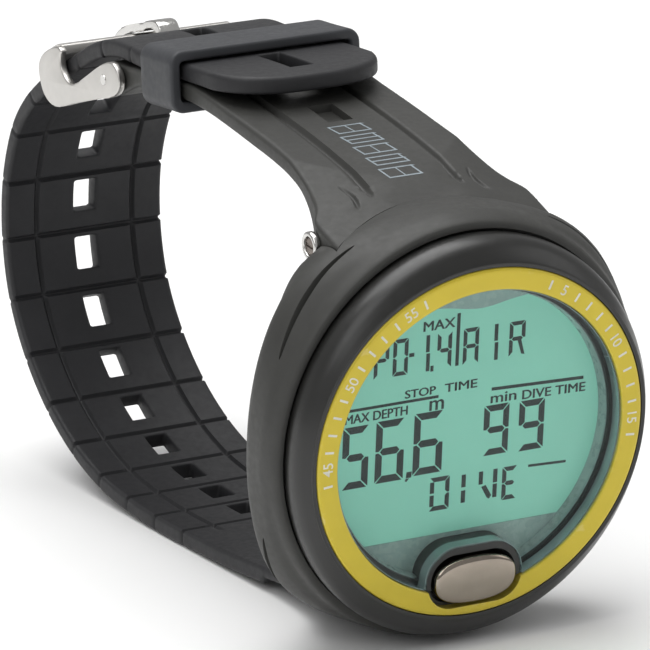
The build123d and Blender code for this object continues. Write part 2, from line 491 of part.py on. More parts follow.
# tongue: an eyelet on the pin, a shank up through the strap and a curled tip over the bar
TONGUE_HX = 1.85
top = [(98.6, 30.2), (101.0, 29.5), (103.2, 29.3), (104.8, 30.3), (105.7, 32.0), (107.2, 33.3), (109.6, 33.0), (112.6, 31.6), (116.2, 30.3), (119.4, 28.8), (121.9, 26.9), (123.6, 24.6)]
low = [(122.5, 23.9), (121.2, 25.9), (119.0, 27.5), (116.3, 28.85), (113.4, 29.8), (110.4, 31.2), (108.6, 31.6), (107.4, 31.1), (106.5, 29.3), (104.9, 27.6), (102.0, 26.6), (99.0, 26.6)]
shank = smooth_slab([top, [top[-1], low[0]], low, [low[-1], top[0]]], -TONGUE_HX, TONGUE_HX)
tongue = shank + xcyl(2.35, -TONGUE_HX, TONGUE_HX, *HEEL)
tongue -= xcyl(HEEL_R + 0.05, -5, 5, *HEEL)
parts["buckle_tongue"] = tag(tongue, "buckle_tongue", (0.82, 0.82, 0.82))

# ---------------------------------------------------------------- keeper
keep_ang = math.degrees(math.atan(STRAIGHT))
kh_in, kw_in, wall, klen = 6.5, 15.15, 1.75, 11.0
outer_k = fillet(Box(2 * (kw_in + wall), klen, kh_in + 2 * wall).edges().filter_by(Axis.Y), 1.8)
inner_k = fillet(Box(2 * kw_in, klen + 2, kh_in).edges().filter_by(Axis.Y), 0.5)
keeper = Pos(0, KEEP_C[0], KEEP_C[1]) * Rot(keep_ang, 0, 0) * (outer_k - inner_k)
parts["keeper_loop"] = tag(keeper, "keeper_loop", (0.09, 0.09, 0.10))


# ---------------------------------------------------------------- stand the object on its case and strap
def low_after(shape, deg):
    return (Rot(deg, 0, 0) * shape).bounding_box().min.Z


FOOT = 0.25   # the guard's lowest edge is flattened by this much, as a foot


def gap(deg):
    return low_after(guard, deg) + FOOT - low_after(long_strap, deg)


t0, t1 = TILT, TILT + 0.5
g0, g1 = gap(t0), gap(t1)
for _ in range(4):
    if abs(g1 - g0) < 1e-9:
        break
    t2 = t1 - g1 * (t1 - t0) / (g1 - g0)
    t0, g0, t1, g1 = t1, g1, t2, gap(t2)
    if abs(g1) < 1e-5:
        break
lean = t1
ground = low_after(long_strap, lean)
print("lean", lean, "ground", ground)
placed = {n: Rot(lean, 0, 0) * p for n, p in parts.items()}
placed["outer_guard"] = placed["outer_guard"] - box(-60, 60, -60, 60, ground - 5.0, ground)
boxes = [p.bounding_box() for p in placed.values()]
x_mid = (min(b.min.X for b in boxes) + max(b.max.X for b in boxes)) / 2
y_mid = (min(b.min.Y for b in boxes) + max(b.max.Y for b in boxes)) / 2
z_low = min(b.min.Z for b in boxes)
print("shift", x_mid, y_mid, z_low)
for name, p in placed.items():
    moved = Pos(-x_mid, -y_mid, -z_low) * p
    moved.label = name
    moved.color = parts[name].color
    export_step(moved, "parts/" + name + ".step")
    print(name, round(moved.volume, 1))
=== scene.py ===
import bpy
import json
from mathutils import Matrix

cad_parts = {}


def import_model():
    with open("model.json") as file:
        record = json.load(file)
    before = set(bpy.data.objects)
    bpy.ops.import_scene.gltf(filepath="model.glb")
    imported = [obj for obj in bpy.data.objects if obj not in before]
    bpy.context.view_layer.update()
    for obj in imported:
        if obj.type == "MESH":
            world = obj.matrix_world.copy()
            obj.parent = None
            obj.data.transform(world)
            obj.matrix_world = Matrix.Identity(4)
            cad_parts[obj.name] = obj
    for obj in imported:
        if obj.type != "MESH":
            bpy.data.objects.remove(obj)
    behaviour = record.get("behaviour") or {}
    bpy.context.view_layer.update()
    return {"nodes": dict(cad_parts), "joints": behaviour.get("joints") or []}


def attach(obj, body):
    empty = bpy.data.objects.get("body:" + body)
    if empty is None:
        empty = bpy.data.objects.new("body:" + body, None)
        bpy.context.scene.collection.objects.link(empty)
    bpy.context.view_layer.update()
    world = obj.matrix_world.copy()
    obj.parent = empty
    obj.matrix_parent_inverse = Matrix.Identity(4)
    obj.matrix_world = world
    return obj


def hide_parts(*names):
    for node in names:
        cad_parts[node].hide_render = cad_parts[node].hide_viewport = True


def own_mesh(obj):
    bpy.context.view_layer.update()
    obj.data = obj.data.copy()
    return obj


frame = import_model()

import json
import math

import bmesh
import bpy
import numpy as np
from mathutils import Matrix, Vector

scene = bpy.context.scene
NODES = frame["nodes"]

# ------------------------------------------------------------------ frames
# Everything below is drawn in the display's own frame, in millimetres: the display looks along -Y,
# +Z is twelve o'clock, y = 0 is the ring's front. world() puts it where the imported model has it.
joints = {j["name"]: j for j in frame["joints"]}
_ax = joints["button_press"]["axis"]
LEAN = math.atan2(_ax[2], _ax[1])
CL, SL = math.cos(LEAN), math.sin(LEAN)
_heel = joints["buckle_swing"]["pos_m"]
YS = 97.5 * CL - 28.5 * SL - _heel[1] * 1000
ZS = 97.5 * SL + 28.5 * CL - _heel[2] * 1000


def world(p):
    p = np.asarray(p, float)
    out = np.empty_like(p)
    out[..., 0] = p[..., 0]
    out[..., 1] = p[..., 1] * CL - p[..., 2] * SL - YS
    out[..., 2] = p[..., 1] * SL + p[..., 2] * CL - ZS
    return out / 1000.0


def turn(v):
    return Vector((v[0], v[1] * CL - v[2] * SL, v[1] * SL + v[2] * CL))


# ------------------------------------------------------------------ mesh helpers
def make(name, verts, faces, body, mat, stands_for=(), angle=38, fix=True, in_world=False):
    me = bpy.data.meshes.new(name)
    v = np.asarray(verts, float)
    me.from_pydata((v if in_world else world(v)).tolist(), [], [list(map(int, f)) for f in faces])
    if fix:
        bm = bmesh.new()
        bm.from_mesh(me)
        bmesh.ops.recalc_face_normals(bm, faces=bm.faces)
        bm.to_mesh(me)
        bm.free()
    me.shade_smooth()
    me.set_sharp_from_angle(angle=math.radians(angle))
    ob = bpy.data.objects.new(name, me)
    scene.collection.objects.link(ob)
    me.materials.append(mat)
    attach(ob, body)
    if stands_for:
        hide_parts(*stands_for)
    return ob


class Soup:
    """Several closed shells gathered into one mesh."""

    def __init__(self):
        self.v, self.f = [], []

    def add(self, verts, faces):
        n = len(self.v)
        self.v += [tuple(map(float, p)) for p in verts]
        self.f += [tuple(i + n for i in f) for f in faces]


def loops_mesh(loops, closed=True, caps=False):
    """Joins equal rings of points one after another. closed joins the last to the first, caps closes both ends."""
    n = len(loops[0])
    verts = [p for ring in loops for p in ring]
    faces = []
    m = len(loops)
    for i in range(m if closed else m - 1):
        a, b = i * n, ((i + 1) % m) * n
        for k in range(n):
            faces.append((a + k, a + (k + 1) % n, b + (k + 1) % n, b + k))
    if caps:
        faces.append(tuple(range(n)))
        faces.append(tuple(range((m - 1) * n, m * n)))
    return verts, faces


def oval_ring(d, a, b, zc=0.0, n=256):
    return [(a * math.cos(t), d, zc + b * math.sin(t)) for t in [2 * math.pi * k / n for k in range(n)]]


def spline(points, per=8, closed=False):
    """Centripetal Catmull-Rom through 2-D points."""
    pts = [tuple(p) for p in points]
    out = []
    n = len(pts)
    for i in range(n if closed else n - 1):
        if closed:
            p0, p1, p2, p3 = (pts[(i - 1) % n], pts[i], pts[(i + 1) % n], pts[(i + 2) % n])
        else:
            p1, p2 = pts[i], pts[i + 1]
            p0 = pts[i - 1] if i else (2 * p1[0] - p2[0], 2 * p1[1] - p2[1])
            p3 = pts[i + 2] if i + 2 < n else (2 * p2[0] - p1[0], 2 * p2[1] - p1[1])
        t0 = 0.0
        t1 = t0 + max(math.dist(p0, p1), 1e-9) ** 0.5
        t2 = t1 + max(math.dist(p1, p2), 1e-9) ** 0.5
        t3 = t2 + max(math.dist(p2, p3), 1e-9) ** 0.5
        for k in range(per):
            t = t1 + (t2 - t1) * k / per
            a1 = [((t1 - t) * u + (t - t0) * v) / (t1 - t0) for u, v in zip(p0, p1)]
            a2 = [((t2 - t) * u + (t - t1) * v) / (t2 - t1) for u, v in zip(p1, p2)]
            a3 = [((t3 - t) * u + (t - t2) * v) / (t3 - t2) for u, v in zip(p2, p3)]
            b1 = [((t2 - t) * u + (t - t0) * v) / (t2 - t0) for u, v in zip(a1, a2)]
            b2 = [((t3 - t) * u + (t - t1) * v) / (t3 - t1) for u, v in zip(a2, a3)]
            out.append(tuple(((t2 - t) * u + (t - t1) * v) / (t2 - t1) for u, v in zip(b1, b2)))
    if not closed:
        out.append(pts[-1])
    return out


def plate(outline, x0, x1, bevel=0.15, segments=3):
    """A plate along X from a closed outline of (y, z), with rounded edges. Returns verts, faces."""
    bm = bmesh.new()
    vs = [bm.verts.new((x0, y, z)) for y, z in outline]
    f = bm.faces.new(vs)
    ext = bmesh.ops.extrude_face_region(bm, geom=[f])
    moved = [g for g in ext["geom"] if isinstance(g, bmesh.types.BMVert)]
    for v in moved:
        v.co.x = x1
    if bevel:
        edges = [e for e in bm.edges if abs(e.verts[0].co.x - e.verts[1].co.x) < 1e-6]
        bmesh.ops.bevel(bm, geom=edges, offset=bevel, offset_type="OFFSET", segments=segments, profile=0.5, affect="EDGES", clamp_overlap=True)
    bmesh.ops.recalc_face_normals(bm, faces=bm.faces)
    bm.verts.index_update()
    out = [tuple(v.co) for v in bm.verts], [tuple(v.index for v in f.verts) for f in bm.faces]
    bm.free()
    return out


def flat_prism(poly, d0, d1):
    """A thin prism facing -Y from a closed outline of (x, z)."""
    n = len(poly)
    verts = [(x, d0, z) for x, z in poly] + [(x, d1, z) for x, z in poly]
    faces = [tuple(range(n)), tuple(range(2 * n - 1, n - 1, -1))]
    faces += [(k, (k + 1) % n, n + (k + 1) % n, n + k) for k in range(n)]
    return verts, faces


def text_polys(body, size, extrude, bold=0.0):
    cu = bpy.data.curves.new("label", "FONT")
    cu.body = body
    cu.size = size
    cu.extrude = extrude
    cu.resolution_u = 5
    cu.offset = bold
    cu.align_x = "LEFT"
    ob = bpy.data.objects.new("label", cu)
    scene.collection.objects.link(ob)
    dg = bpy.context.evaluated_depsgraph_get()
    me = bpy.data.meshes.new_from_object(ob.evaluated_get(dg))
    v = np.array([p.co for p in me.vertices], float).reshape(-1, 3)
    f = [tuple(p.vertices) for p in me.polygons]
    bpy.data.objects.remove(ob)
    bpy.data.curves.remove(cu)
    bpy.data.meshes.remove(me)
    return v, f


# ------------------------------------------------------------------ materials
def node(nt, kind, **values):
    n = nt.nodes.new(kind)
    for k, v in values.items():
        setattr(n, k, v)
    return n


def material(name, color, rough=0.5, metallic=0.0, spec=0.5, grain=0.0, grain_scale=6000, swell=0.0, swell_scale=350,
             mottle=0.0, mottle_scale=180, rough_var=0.08, rough_scale=900, coat=0.0, coat_rough=0.2, brush=None, aniso=0.0,
             scratches=0.0, tint=None, sheen=0.0, wear=0.0, wear_color=(0.3, 0.3, 0.3)):
    """A Principled material whose colour, roughness and height all carry procedural detail."""
    mat = bpy.data.materials.new(name)
    mat.use_nodes = True
    nt = mat.node_tree
    nt.nodes.clear()
    out = node(nt, "ShaderNodeOutputMaterial")
    p = node(nt, "ShaderNodeBsdfPrincipled")
    nt.links.new(p.outputs[0], out.inputs[0])
    p.inputs["Metallic"].default_value = metallic
    p.inputs["Specular IOR Level"].default_value = spec
    p.inputs["Coat Weight"].default_value = coat
    p.inputs["Coat Roughness"].default_value = coat_rough
    p.inputs["Anisotropic"].default_value = aniso
    p.inputs["Sheen Weight"].default_value = sheen
    tc = node(nt, "ShaderNodeTexCoord")
    src = tc.outputs["Object"]
    if brush:
        mp = node(nt, "ShaderNodeMapping")
        mp.inputs["Scale"].default_value = brush
        nt.links.new(src, mp.inputs["Vector"])
        fine_src = mp.outputs[0]
    else:
        fine_src = src

    def noise(vec, scale, detail=3.0, rough_=0.55):
        n = node(nt, "ShaderNodeTexNoise")
        n.inputs["Scale"].default_value = scale
        n.inputs["Detail"].default_value = detail
        n.inputs["Roughness"].default_value = rough_
        nt.links.new(vec, n.inputs["Vector"])
        return n.outputs["Fac"]

    # colour
    big = noise(src, mottle_scale, 4.0)
    ramp = node(nt, "ShaderNodeMapRange")
    ramp.inputs["From Min"].default_value = 0.3
    ramp.inputs["From Max"].default_value = 0.7
    nt.links.new(big, ramp.inputs["Value"])
    mix = node(nt, "ShaderNodeMix", data_type="RGBA")
    c = tuple(color)
    t = tuple(tint) if tint else tuple(x * (1 - 2.0 * mottle) for x in c)
    mix.inputs[6].default_value = (*t, 1)
    mix.inputs[7].default_value = (*[min(1.0, x * (1 + mottle)) for x in c], 1)
    nt.links.new(ramp.outputs[0], mix.inputs[0])
    col = mix.outputs[2]
    if wear:
        geo = node(nt, "ShaderNodeNewGeometry")
        wn = noise(src, 1400, 5.0, 0.65)
        wr = node(nt, "ShaderNodeMapRange")
        wr.inputs["From Min"].default_value = 0.53
        wr.inputs["From Max"].default_value = 0.60
        add = node(nt, "ShaderNodeMath", operation="MULTIPLY_ADD")
        add.inputs[1].default_value = 0.22
        nt.links.new(wn, add.inputs[0])
        sub = node(nt, "ShaderNodeMath", operation="SUBTRACT")
        sub.inputs[1].default_value = 0.11
        nt.links.new(geo.outputs["Pointiness"], sub.inputs[0])
        nt.links.new(sub.outputs[0], add.inputs[2])
        nt.links.new(add.outputs[0], wr.inputs["Value"])
        sc = node(nt, "ShaderNodeMath", operation="MULTIPLY")
        sc.inputs[1].default_value = wear
        nt.links.new(wr.outputs[0], sc.inputs[0])
        wm = node(nt, "ShaderNodeMix", data_type="RGBA")
        nt.links.new(sc.outputs[0], wm.inputs[0])
        nt.links.new(col, wm.inputs[6])
        wm.inputs[7].default_value = (*wear_color, 1)
        col = wm.outputs[2]
    nt.links.new(col, p.inputs["Base Color"])
    # roughness
    rn = noise(fine_src, rough_scale, 4.0)
    rr = node(nt, "ShaderNodeMapRange")
    rr.inputs["From Min"].default_value = 0.3
    rr.inputs["From Max"].default_value = 0.7
    rr.inputs["To Min"].default_value = max(0.02, rough - rough_var)
    rr.inputs["To Max"].default_value = min(1.0, rough + rough_var)
    nt.links.new(rn, rr.inputs["Value"])
    nt.links.new(rr.outputs[0], p.inputs["Roughness"])
    # height
    heights = []
    if grain:
        heights.append((noise(fine_src, grain_scale, 2.0), grain))
    if swell:
        heights.append((noise(src, swell_scale, 2.0), swell))
    if scratches:
        sm = node(nt, "ShaderNodeMapping")
        sm.inputs["Scale"].default_value = (1.0, 14.0, 3.0)
        sm.inputs["Rotation"].default_value = (0.4, 0.7, 1.1)
        nt.links.new(src, sm.inputs["Vector"])
        heights.append((noise(sm.outputs[0], 700, 2.0), scratches))
    last = None
    for fac, dist in heights:
        b = node(nt, "ShaderNodeBump")
        b.inputs["Strength"].default_value = 1.0
        b.inputs["Distance"].default_value = dist / 1000.0
        nt.links.new(fac, b.inputs["Height"])
        if last is not None:
            nt.links.new(last, b.inputs["Normal"])
        last = b.outputs[0]
    if last is not None:
        nt.links.new(last, p.inputs["Normal"])
    return mat


def clear_material(name, tint=(1, 1, 1), gloss=0.06, rough=0.02, extra=0.0):
    """Thin clear glass: light passes straight through, with a mirror that grows towards grazing."""
    mat = bpy.data.materials.new(name)
    mat.use_nodes = True
    nt = mat.node_tree
    nt.nodes.clear()
    out = node(nt, "ShaderNodeOutputMaterial")
    tr = node(nt, "ShaderNodeBsdfTransparent")
    tr.inputs["Color"].default_value = (*tint, 1)
    gl = node(nt, "ShaderNodeBsdfPrincipled")
    gl.inputs["Base Color"].default_value = (0.02, 0.03, 0.03, 1)
    gl.inputs["Specular IOR Level"].default_value = 0.5
    gl.inputs["Metallic"].default_value = 1.0
    gl.inputs["Base Color"].default_value = (0.9, 0.95, 0.95, 1)
    tc = node(nt, "ShaderNodeTexCoord")
    n = node(nt, "ShaderNodeTexNoise")
    n.inputs["Scale"].default_value = 260
    n.inputs["Detail"].default_value = 5.0
    nt.links.new(tc.outputs["Object"], n.inputs["Vector"])
    rr = node(nt, "ShaderNodeMapRange")
    rr.inputs["From Min"].default_value = 0.35
    rr.inputs["From Max"].default_value = 0.75
    rr.inputs["To Min"].default_value = rough
    rr.inputs["To Max"].default_value = rough + 0.05
    nt.links.new(n.outputs["Fac"], rr.inputs["Value"])
    nt.links.new(rr.outputs[0], gl.inputs["Roughness"])
    fr = node(nt, "ShaderNodeFresnel")
    fr.inputs["IOR"].default_value = 1.45
    ma = node(nt, "ShaderNodeMath", operation="MULTIPLY_ADD")
    ma.inputs[1].default_value = 0.38
    ma.inputs[2].default_value = extra
    nt.links.new(fr.outputs[0], ma.inputs[0])
    mx = node(nt, "ShaderNodeMixShader")
    nt.links.new(ma.outputs[0], mx.inputs[0])
    nt.links.new(tr.outputs[0], mx.inputs[1])
    nt.links.new(gl.outputs[0], mx.inputs[2])
    nt.links.new(mx.outputs[0], out.inputs[0])
    return mat


M = {
    "guard": material("guard_rubber", (0.042, 0.042, 0.039), 0.50, spec=0.36, grain=0.010, grain_scale=7000, swell=0.012, swell_scale=220, mottle=0.06, rough_var=0.06),
    "rim": material("rim_plastic", (0.014, 0.014, 0.013), 0.33, spec=0.5, grain=0.005, grain_scale=9000, swell=0.006, swell_scale=260, mottle=0.06, rough_var=0.05, coat=0.05, coat_rough=0.25),
    "body": material("body_plastic", (0.028, 0.028, 0.027), 0.45, spec=0.5, grain=0.010, grain_scale=6500, mottle=0.06, rough_var=0.06),
    "ring": material("ring_yellow", (0.60, 0.47, 0.030), 0.38, metallic=0.35, spec=0.5, grain=0.003, grain_scale=9000, swell=0.002, swell_scale=500, mottle=0.04, mottle_scale=90, rough_var=0.07, coat=0.25, coat_rough=0.15, wear=0.25, wear_color=(0.75, 0.68, 0.35)),
    "mark": material("mark_white", (0.72, 0.71, 0.62), 0.45, mottle=0.05, mottle_scale=700, grain=0.003),
    "crystal": clear_material("crystal_glass", (0.95, 0.985, 0.98)),
    # opaque tinted colour for the lens's side: painted reflection of the glass edge
    "crystal_edge_painted_reflection": material("crystal_edge_painted_reflection", (0.22, 0.29, 0.29), 0.12, spec=0.7, mottle=0.25, mottle_scale=60, coat=0.7, coat_rough=0.05, grain=0.001),
    "bezel_wall": material("bezel_wall", (0.30, 0.37, 0.36), 0.30, mottle=0.15, mottle_scale=70, grain=0.003, coat=0.3, coat_rough=0.15),
    "mask": material("mask_grey", (0.26, 0.36, 0.335), 0.26, mottle=0.10, mottle_scale=60, grain=0.002, coat=0.35, coat_rough=0.1),
    "lcd": material("lcd_reflector", (0.30, 0.62, 0.50), 0.42, mottle=0.035, mottle_scale=45, grain=0.004, grain_scale=12000, rough_var=0.05, spec=0.4),
    "ink": material("lcd_ink", (0.006, 0.013, 0.012), 0.5, spec=0.15, mottle=0.08, mottle_scale=300, grain=0.002),
    "metal": material("button_metal", (0.33, 0.285, 0.24), 0.11, metallic=1.0, grain=0.0012, grain_scale=5200, brush=(1.0, 1.0, 7.0), mottle=0.05, mottle_scale=220, rough_var=0.05, scratches=0.0012, wear=0.3, wear_color=(0.62, 0.58, 0.53)),
    "steel": material("buckle_steel", (0.57, 0.555, 0.53), 0.33, metallic=1.0, grain=0.0018, grain_scale=4200, brush=(9.0, 1.0, 1.0), mottle=0.02, rough_var=0.05, scratches=0.0006),
    "steel_bright": material("screw_steel", (0.66, 0.65, 0.63), 0.2, metallic=1.0, grain=0.0015, grain_scale=5200, mottle=0.04, rough_var=0.06, scratches=0.002),
    # dark copy of the screw steel for the heads' recessed centres: painted shade in the recess
    "steel_painted_shade": material("screw_well_painted_shade", (0.20, 0.17, 0.15), 0.34, metallic=0.9, grain=0.003, mottle=0.12, mottle_scale=700),
    "strap_long": material("strap_long_rubber", (0.020, 0.020, 0.022), 0.54, spec=0.36, grain=0.012, grain_scale=6500, swell=0.015, swell_scale=260, mottle=0.07, rough_var=0.07),
    "strap_short": material("strap_short_rubber", (0.040, 0.040, 0.037), 0.50, spec=0.36, grain=0.011, grain_scale=6500, swell=0.014, swell_scale=240, mottle=0.06, rough_var=0.07),
    "keeper": material("keeper_rubber", (0.044, 0.046, 0.051), 0.50, spec=0.36, grain=0.011, grain_scale=6500, swell=0.012, swell_scale=300, mottle=0.06, rough_var=0.06),
    "print": material("strap_print", (0.26, 0.31, 0.34), 0.45, mottle=0.10, mottle_scale=900, grain=0.004),
    "seal": material("seal_rubber", (0.012, 0.012, 0.012), 0.38, grain=0.006, mottle=0.1),
    "plate": material("plate_plastic", (0.030, 0.030, 0.031), 0.55, grain=0.022, grain_scale=3600, mottle=0.08, rough_var=0.08),
    "cover": material("cover_plastic", (0.036, 0.036, 0.036), 0.48, grain=0.010, grain_scale=5200, mottle=0.08),
    "white": material("inner_white", (0.70, 0.70, 0.67), 0.5, grain=0.006, mottle=0.04),
    "board": material("board_green", (0.015, 0.13, 0.04), 0.28, grain=0.004, grain_scale=2600, mottle=0.25, mottle_scale=900, coat=0.4),
    "gold": material("contact_gold", (0.80, 0.56, 0.20), 0.28, metallic=1.0, grain=0.002, mottle=0.05),
    "cell": material("cell_steel", (0.66, 0.66, 0.65), 0.30, metallic=1.0, grain=0.003, brush=(1.0, 1.0, 8.0), mottle=0.05),
    "zebra": material("zebra_rubber", (0.40, 0.34, 0.36), 0.6, grain=0.012, mottle=0.2, mottle_scale=2500),
    "acrylic": material("light_acrylic", (0.75, 0.82, 0.78), 0.28, grain=0.003, mottle=0.04, coat=0.4),
    "brass": material("piezo_brass", (0.72, 0.52, 0.22), 0.3, metallic=1.0, grain=0.003, mottle=0.08),
}

# painted light: the LCD reflector is given a faint glow of its own to brighten the panel
for _n in M["lcd"].node_tree.nodes:
    if _n.type == "BSDF_PRINCIPLED":
        _n.inputs["Emission Color"].default_value = (0.24, 1.0, 0.75, 1)
        _n.inputs["Emission Strength"].default_value = 0.09

CARRIED = {
    "case_body": "body", "outer_guard": "guard", "bezel_ring": "ring", "crystal": "crystal", "crystal_gasket": "seal", "display_frame": "mask",
    "lcd_panel": "lcd", "lcd_segments": "ink", "light_guide": "acrylic", "zebra_connectors": "zebra", "module_frame": "white",
    "circuit_board": "board", "button_switch": "gold", "battery_holder": "cover", "battery_contact": "gold", "battery": "cell",
    "pressure_sensor": "cell", "piezo_buzzer": "brass", "back_gasket": "seal", "back_plate": "plate", "sensor_port": "steel_bright",
    "back_screws": "steel_bright", "battery_cover": "cover", "cover_oring": "seal", "button_cap": "metal", "button_stem": "steel_bright",
    "button_clip": "steel_bright", "button_spring": "steel_bright", "button_oring": "seal", "upper_lug_pin": "steel_bright",
    "lower_lug_pin": "steel_bright", "upper_lug_screws": "steel_bright", "lower_lug_screws": "steel_bright", "strap_long": "strap_long",
    "strap_short": "strap_short", "buckle_frame": "steel", "buckle_pin": "steel_bright", "buckle_tongue": "steel_bright", "keeper_loop": "keeper",
}
for n, m in CARRIED.items():
    me = NODES[n].data
    me.materials.clear()
    me.materials.append(M[m])

ROOT = "computer_and_strap"

# ------------------------------------------------------------------ strap path, as the CAD has it
INNER = [(42.0, -34.6), (53.5, -36.8), (64.1, -38.4), (76.0, -40.1), (86.9, -41.05), (98.3, -41.04),
         (108.4, -39.2), (117.9, -35.3), (126.0, -29.5), (132.2, -21.8), (135.3, -12.6), (135.5, -2.6),
         (132.5, 7.0), (128.6, 12.4), (123.8, 16.7), (118.5, 20.5), (112.1, 24.7), (103.7, 29.75),
         (97.5, 32.15), (92.0, 33.0), (88.0, 33.415), (85.0, 33.925), (77.5, 35.2), (71.0, 36.305),
         (66.0, 37.1), (60.0, 37.95), (54.4, 38.6)]
PER = 24
_path = np.array(spline([(41.0, -34.4)] + INNER + [(53.0, 38.75)], PER)[PER:-PER])
_seg = np.hypot(*np.diff(_path, axis=0).T)
_arc = np.concatenate([[0], np.cumsum(_seg)])
ARC_END = float(_arc[-1])
ARC_B = float(_arc[12 * PER])
_tan = np.gradient(_path, _arc, axis=0)
_k = np.ones(31) / 31
_tan = np.stack([np.convolve(np.pad(_tan[:, i], 15, mode="edge"), _k, "valid") for i in (0, 1)], 1)
_tan /= np.linalg.norm(_tan, axis=1)[:, None]


def on_path(arc):
    arc = np.asarray(arc, float)
    p = np.stack([np.interp(arc, _arc, _path[:, i]) for i in (0, 1)], -1)
    t = np.stack([np.interp(arc, _arc, _tan[:, i]) for i in (0, 1)], -1)
    t /= np.linalg.norm(t, axis=-1)[..., None]
    return p, np.stack([t[..., 1], -t[..., 0]], -1)


T = 2.8
HX = 14.5
EAR = 18.6
LUG = 10.8
PIN_Y, PIN_Z = 20.6, 27.3


def yf(x):
    return 19.8 - x * x / 55.0


def arch_z(x, y):
    """Height of the flared strap ends' arched top."""
    return 32.8 + 0.22 * (y - 20.5) - 0.0055 * x * x


def arched(p, x):
    """Keeps an outer point (y, z) of a strap under the arch."""
    lim = arch_z(x, p[0]) - 0.02
    return np.array([p[0], math.copysign(min(abs(p[1]), lim), p[1])])


def round_off(dist, r):
    """How far a rounded edge of radius r has dropped at this distance from the border."""
    d = np.clip(r - np.asarray(dist, float), 0, r)
    return r - np.sqrt(np.maximum(r * r - d * d, 0))


def groove(dist, half, depth):
    u = np.clip(np.abs(dist) / half, 0, 1)
    return depth * (1 - u * u) ** 1.3


def solid_from_grid(P_out, P_in, hole):
    """P_out and P_in are (rows, cols, 3); hole marks cells left open."""
    R, C = P_out.shape[:2]
    verts = np.concatenate([P_out.reshape(-1, 3), P_in.reshape(-1, 3)])
    o = lambda r, c: r * C + c
    i_ = lambda r, c: R * C + r * C + c
    faces = []
    solid = ~hole
    for r in range(R - 1):
        for c in range(C - 1):
            if not solid[r, c]:
                continue
            faces.append((o(r, c), o(r, c + 1), o(r + 1, c + 1), o(r + 1, c)))
            faces.append((i_(r, c), i_(r + 1, c), i_(r + 1, c + 1), i_(r, c + 1)))
            if r == 0 or not solid[r - 1, c]:
                faces.append((o(r, c), i_(r, c), i_(r, c + 1), o(r, c + 1)))
            if r == R - 2 or not solid[r + 1, c]:
                faces.append((o(r + 1, c), o(r + 1, c + 1), i_(r + 1, c + 1), i_(r + 1, c)))
            if c == 0 or not solid[r, c - 1]:
                faces.append((o(r, c), o(r + 1, c), i_(r + 1, c), i_(r, c)))
            if c == C - 2 or not solid[r, c + 1]:
                faces.append((o(r, c + 1), i_(r, c + 1), i_(r + 1, c + 1), o(r + 1, c + 1)))
    used = sorted({k for f in faces for k in f})
    index = {k: n for n, k in enumerate(used)}
    return verts[used], [tuple(index[k] for k in f) for f in faces]


def lines(lo, hi, step, specials=()):
    """Grid lines from lo to hi about step apart, with all the special ones kept."""
    keep = sorted({round(s, 4) for s in specials if lo - 1e-9 <= s <= hi + 1e-9} | {round(lo, 4), round(hi, 4)})
    out = []
    for a, b in zip(keep, keep[1:]):
        n = max(1, int(math.ceil((b - a) / step - 1e-6)))
        out += [a + (b - a) * k / n for k in range(n)]
    return out + [keep[-1]]


def half_columns(specials, step=0.8, top=11.6):
    inner_cols = lines(0.0, top, step, specials)
    return inner_cols


def build_columns(inner_cols, edge_dists):
    """Signed column descriptors: ('x', value) inside, ('e', distance from the edge) outside."""
    pos = [("x", v) for v in inner_cols] + [("e", d) for d in edge_dists]
    neg = [(k, v) for k, v in reversed(pos) if not (k == "x" and v == 0)]
    return [(-1, k, v) for k, v in neg] + [(1, k, v) for k, v in pos]


def column_x(cols, hx, top):
    """x of each column where the half width is hx."""
    out = []
    emax = 2.9
    for s, k, v in cols:
        if k == "x":
            out.append(s * v * min(1.0, (hx - 0.5) / (HX - 0.5)) if hx < HX else s * v)
        else:
            # columns between top and hx: v is a distance from the edge at the usual width, stretched on the flare
            span = hx - top if hx >= HX else (hx - top * (hx - 0.5) / (HX - 0.5))
            f = v / emax
            base = span / emax
            near = min(v, 0.9)
            if base >= 1:
                xx = hx - (near + (v - near) * (span - 0.9) / (emax - 0.9))
            else:
                xx = hx - v * base
            out.append(s * xx)
    return np.array(out)


TOP = 11.6
EDGE = [2.45, 2.0, 1.5, 1.1, 0.8, 0.55, 0.36, 0.22, 0.11, 0.04, 0.0]


_flank = np.array(spline([(20.9, EAR), (22.0, 18.1), (23.4, 17.2), (25.0, 16.5), (27.2, 15.9), (30.2, 15.35), (33.5, 14.95), (38.0, 14.65), (43.0, HX)], 8))


def flare(y):
    """Half width of a strap that narrows from the ear width to its own."""
    return float(np.interp(y, np.concatenate([[0], _flank[:, 0], [300]]), np.concatenate([[EAR], _flank[:, 1], [HX]])))


def ear_curve(points, per):
    return np.array(spline(points, per))


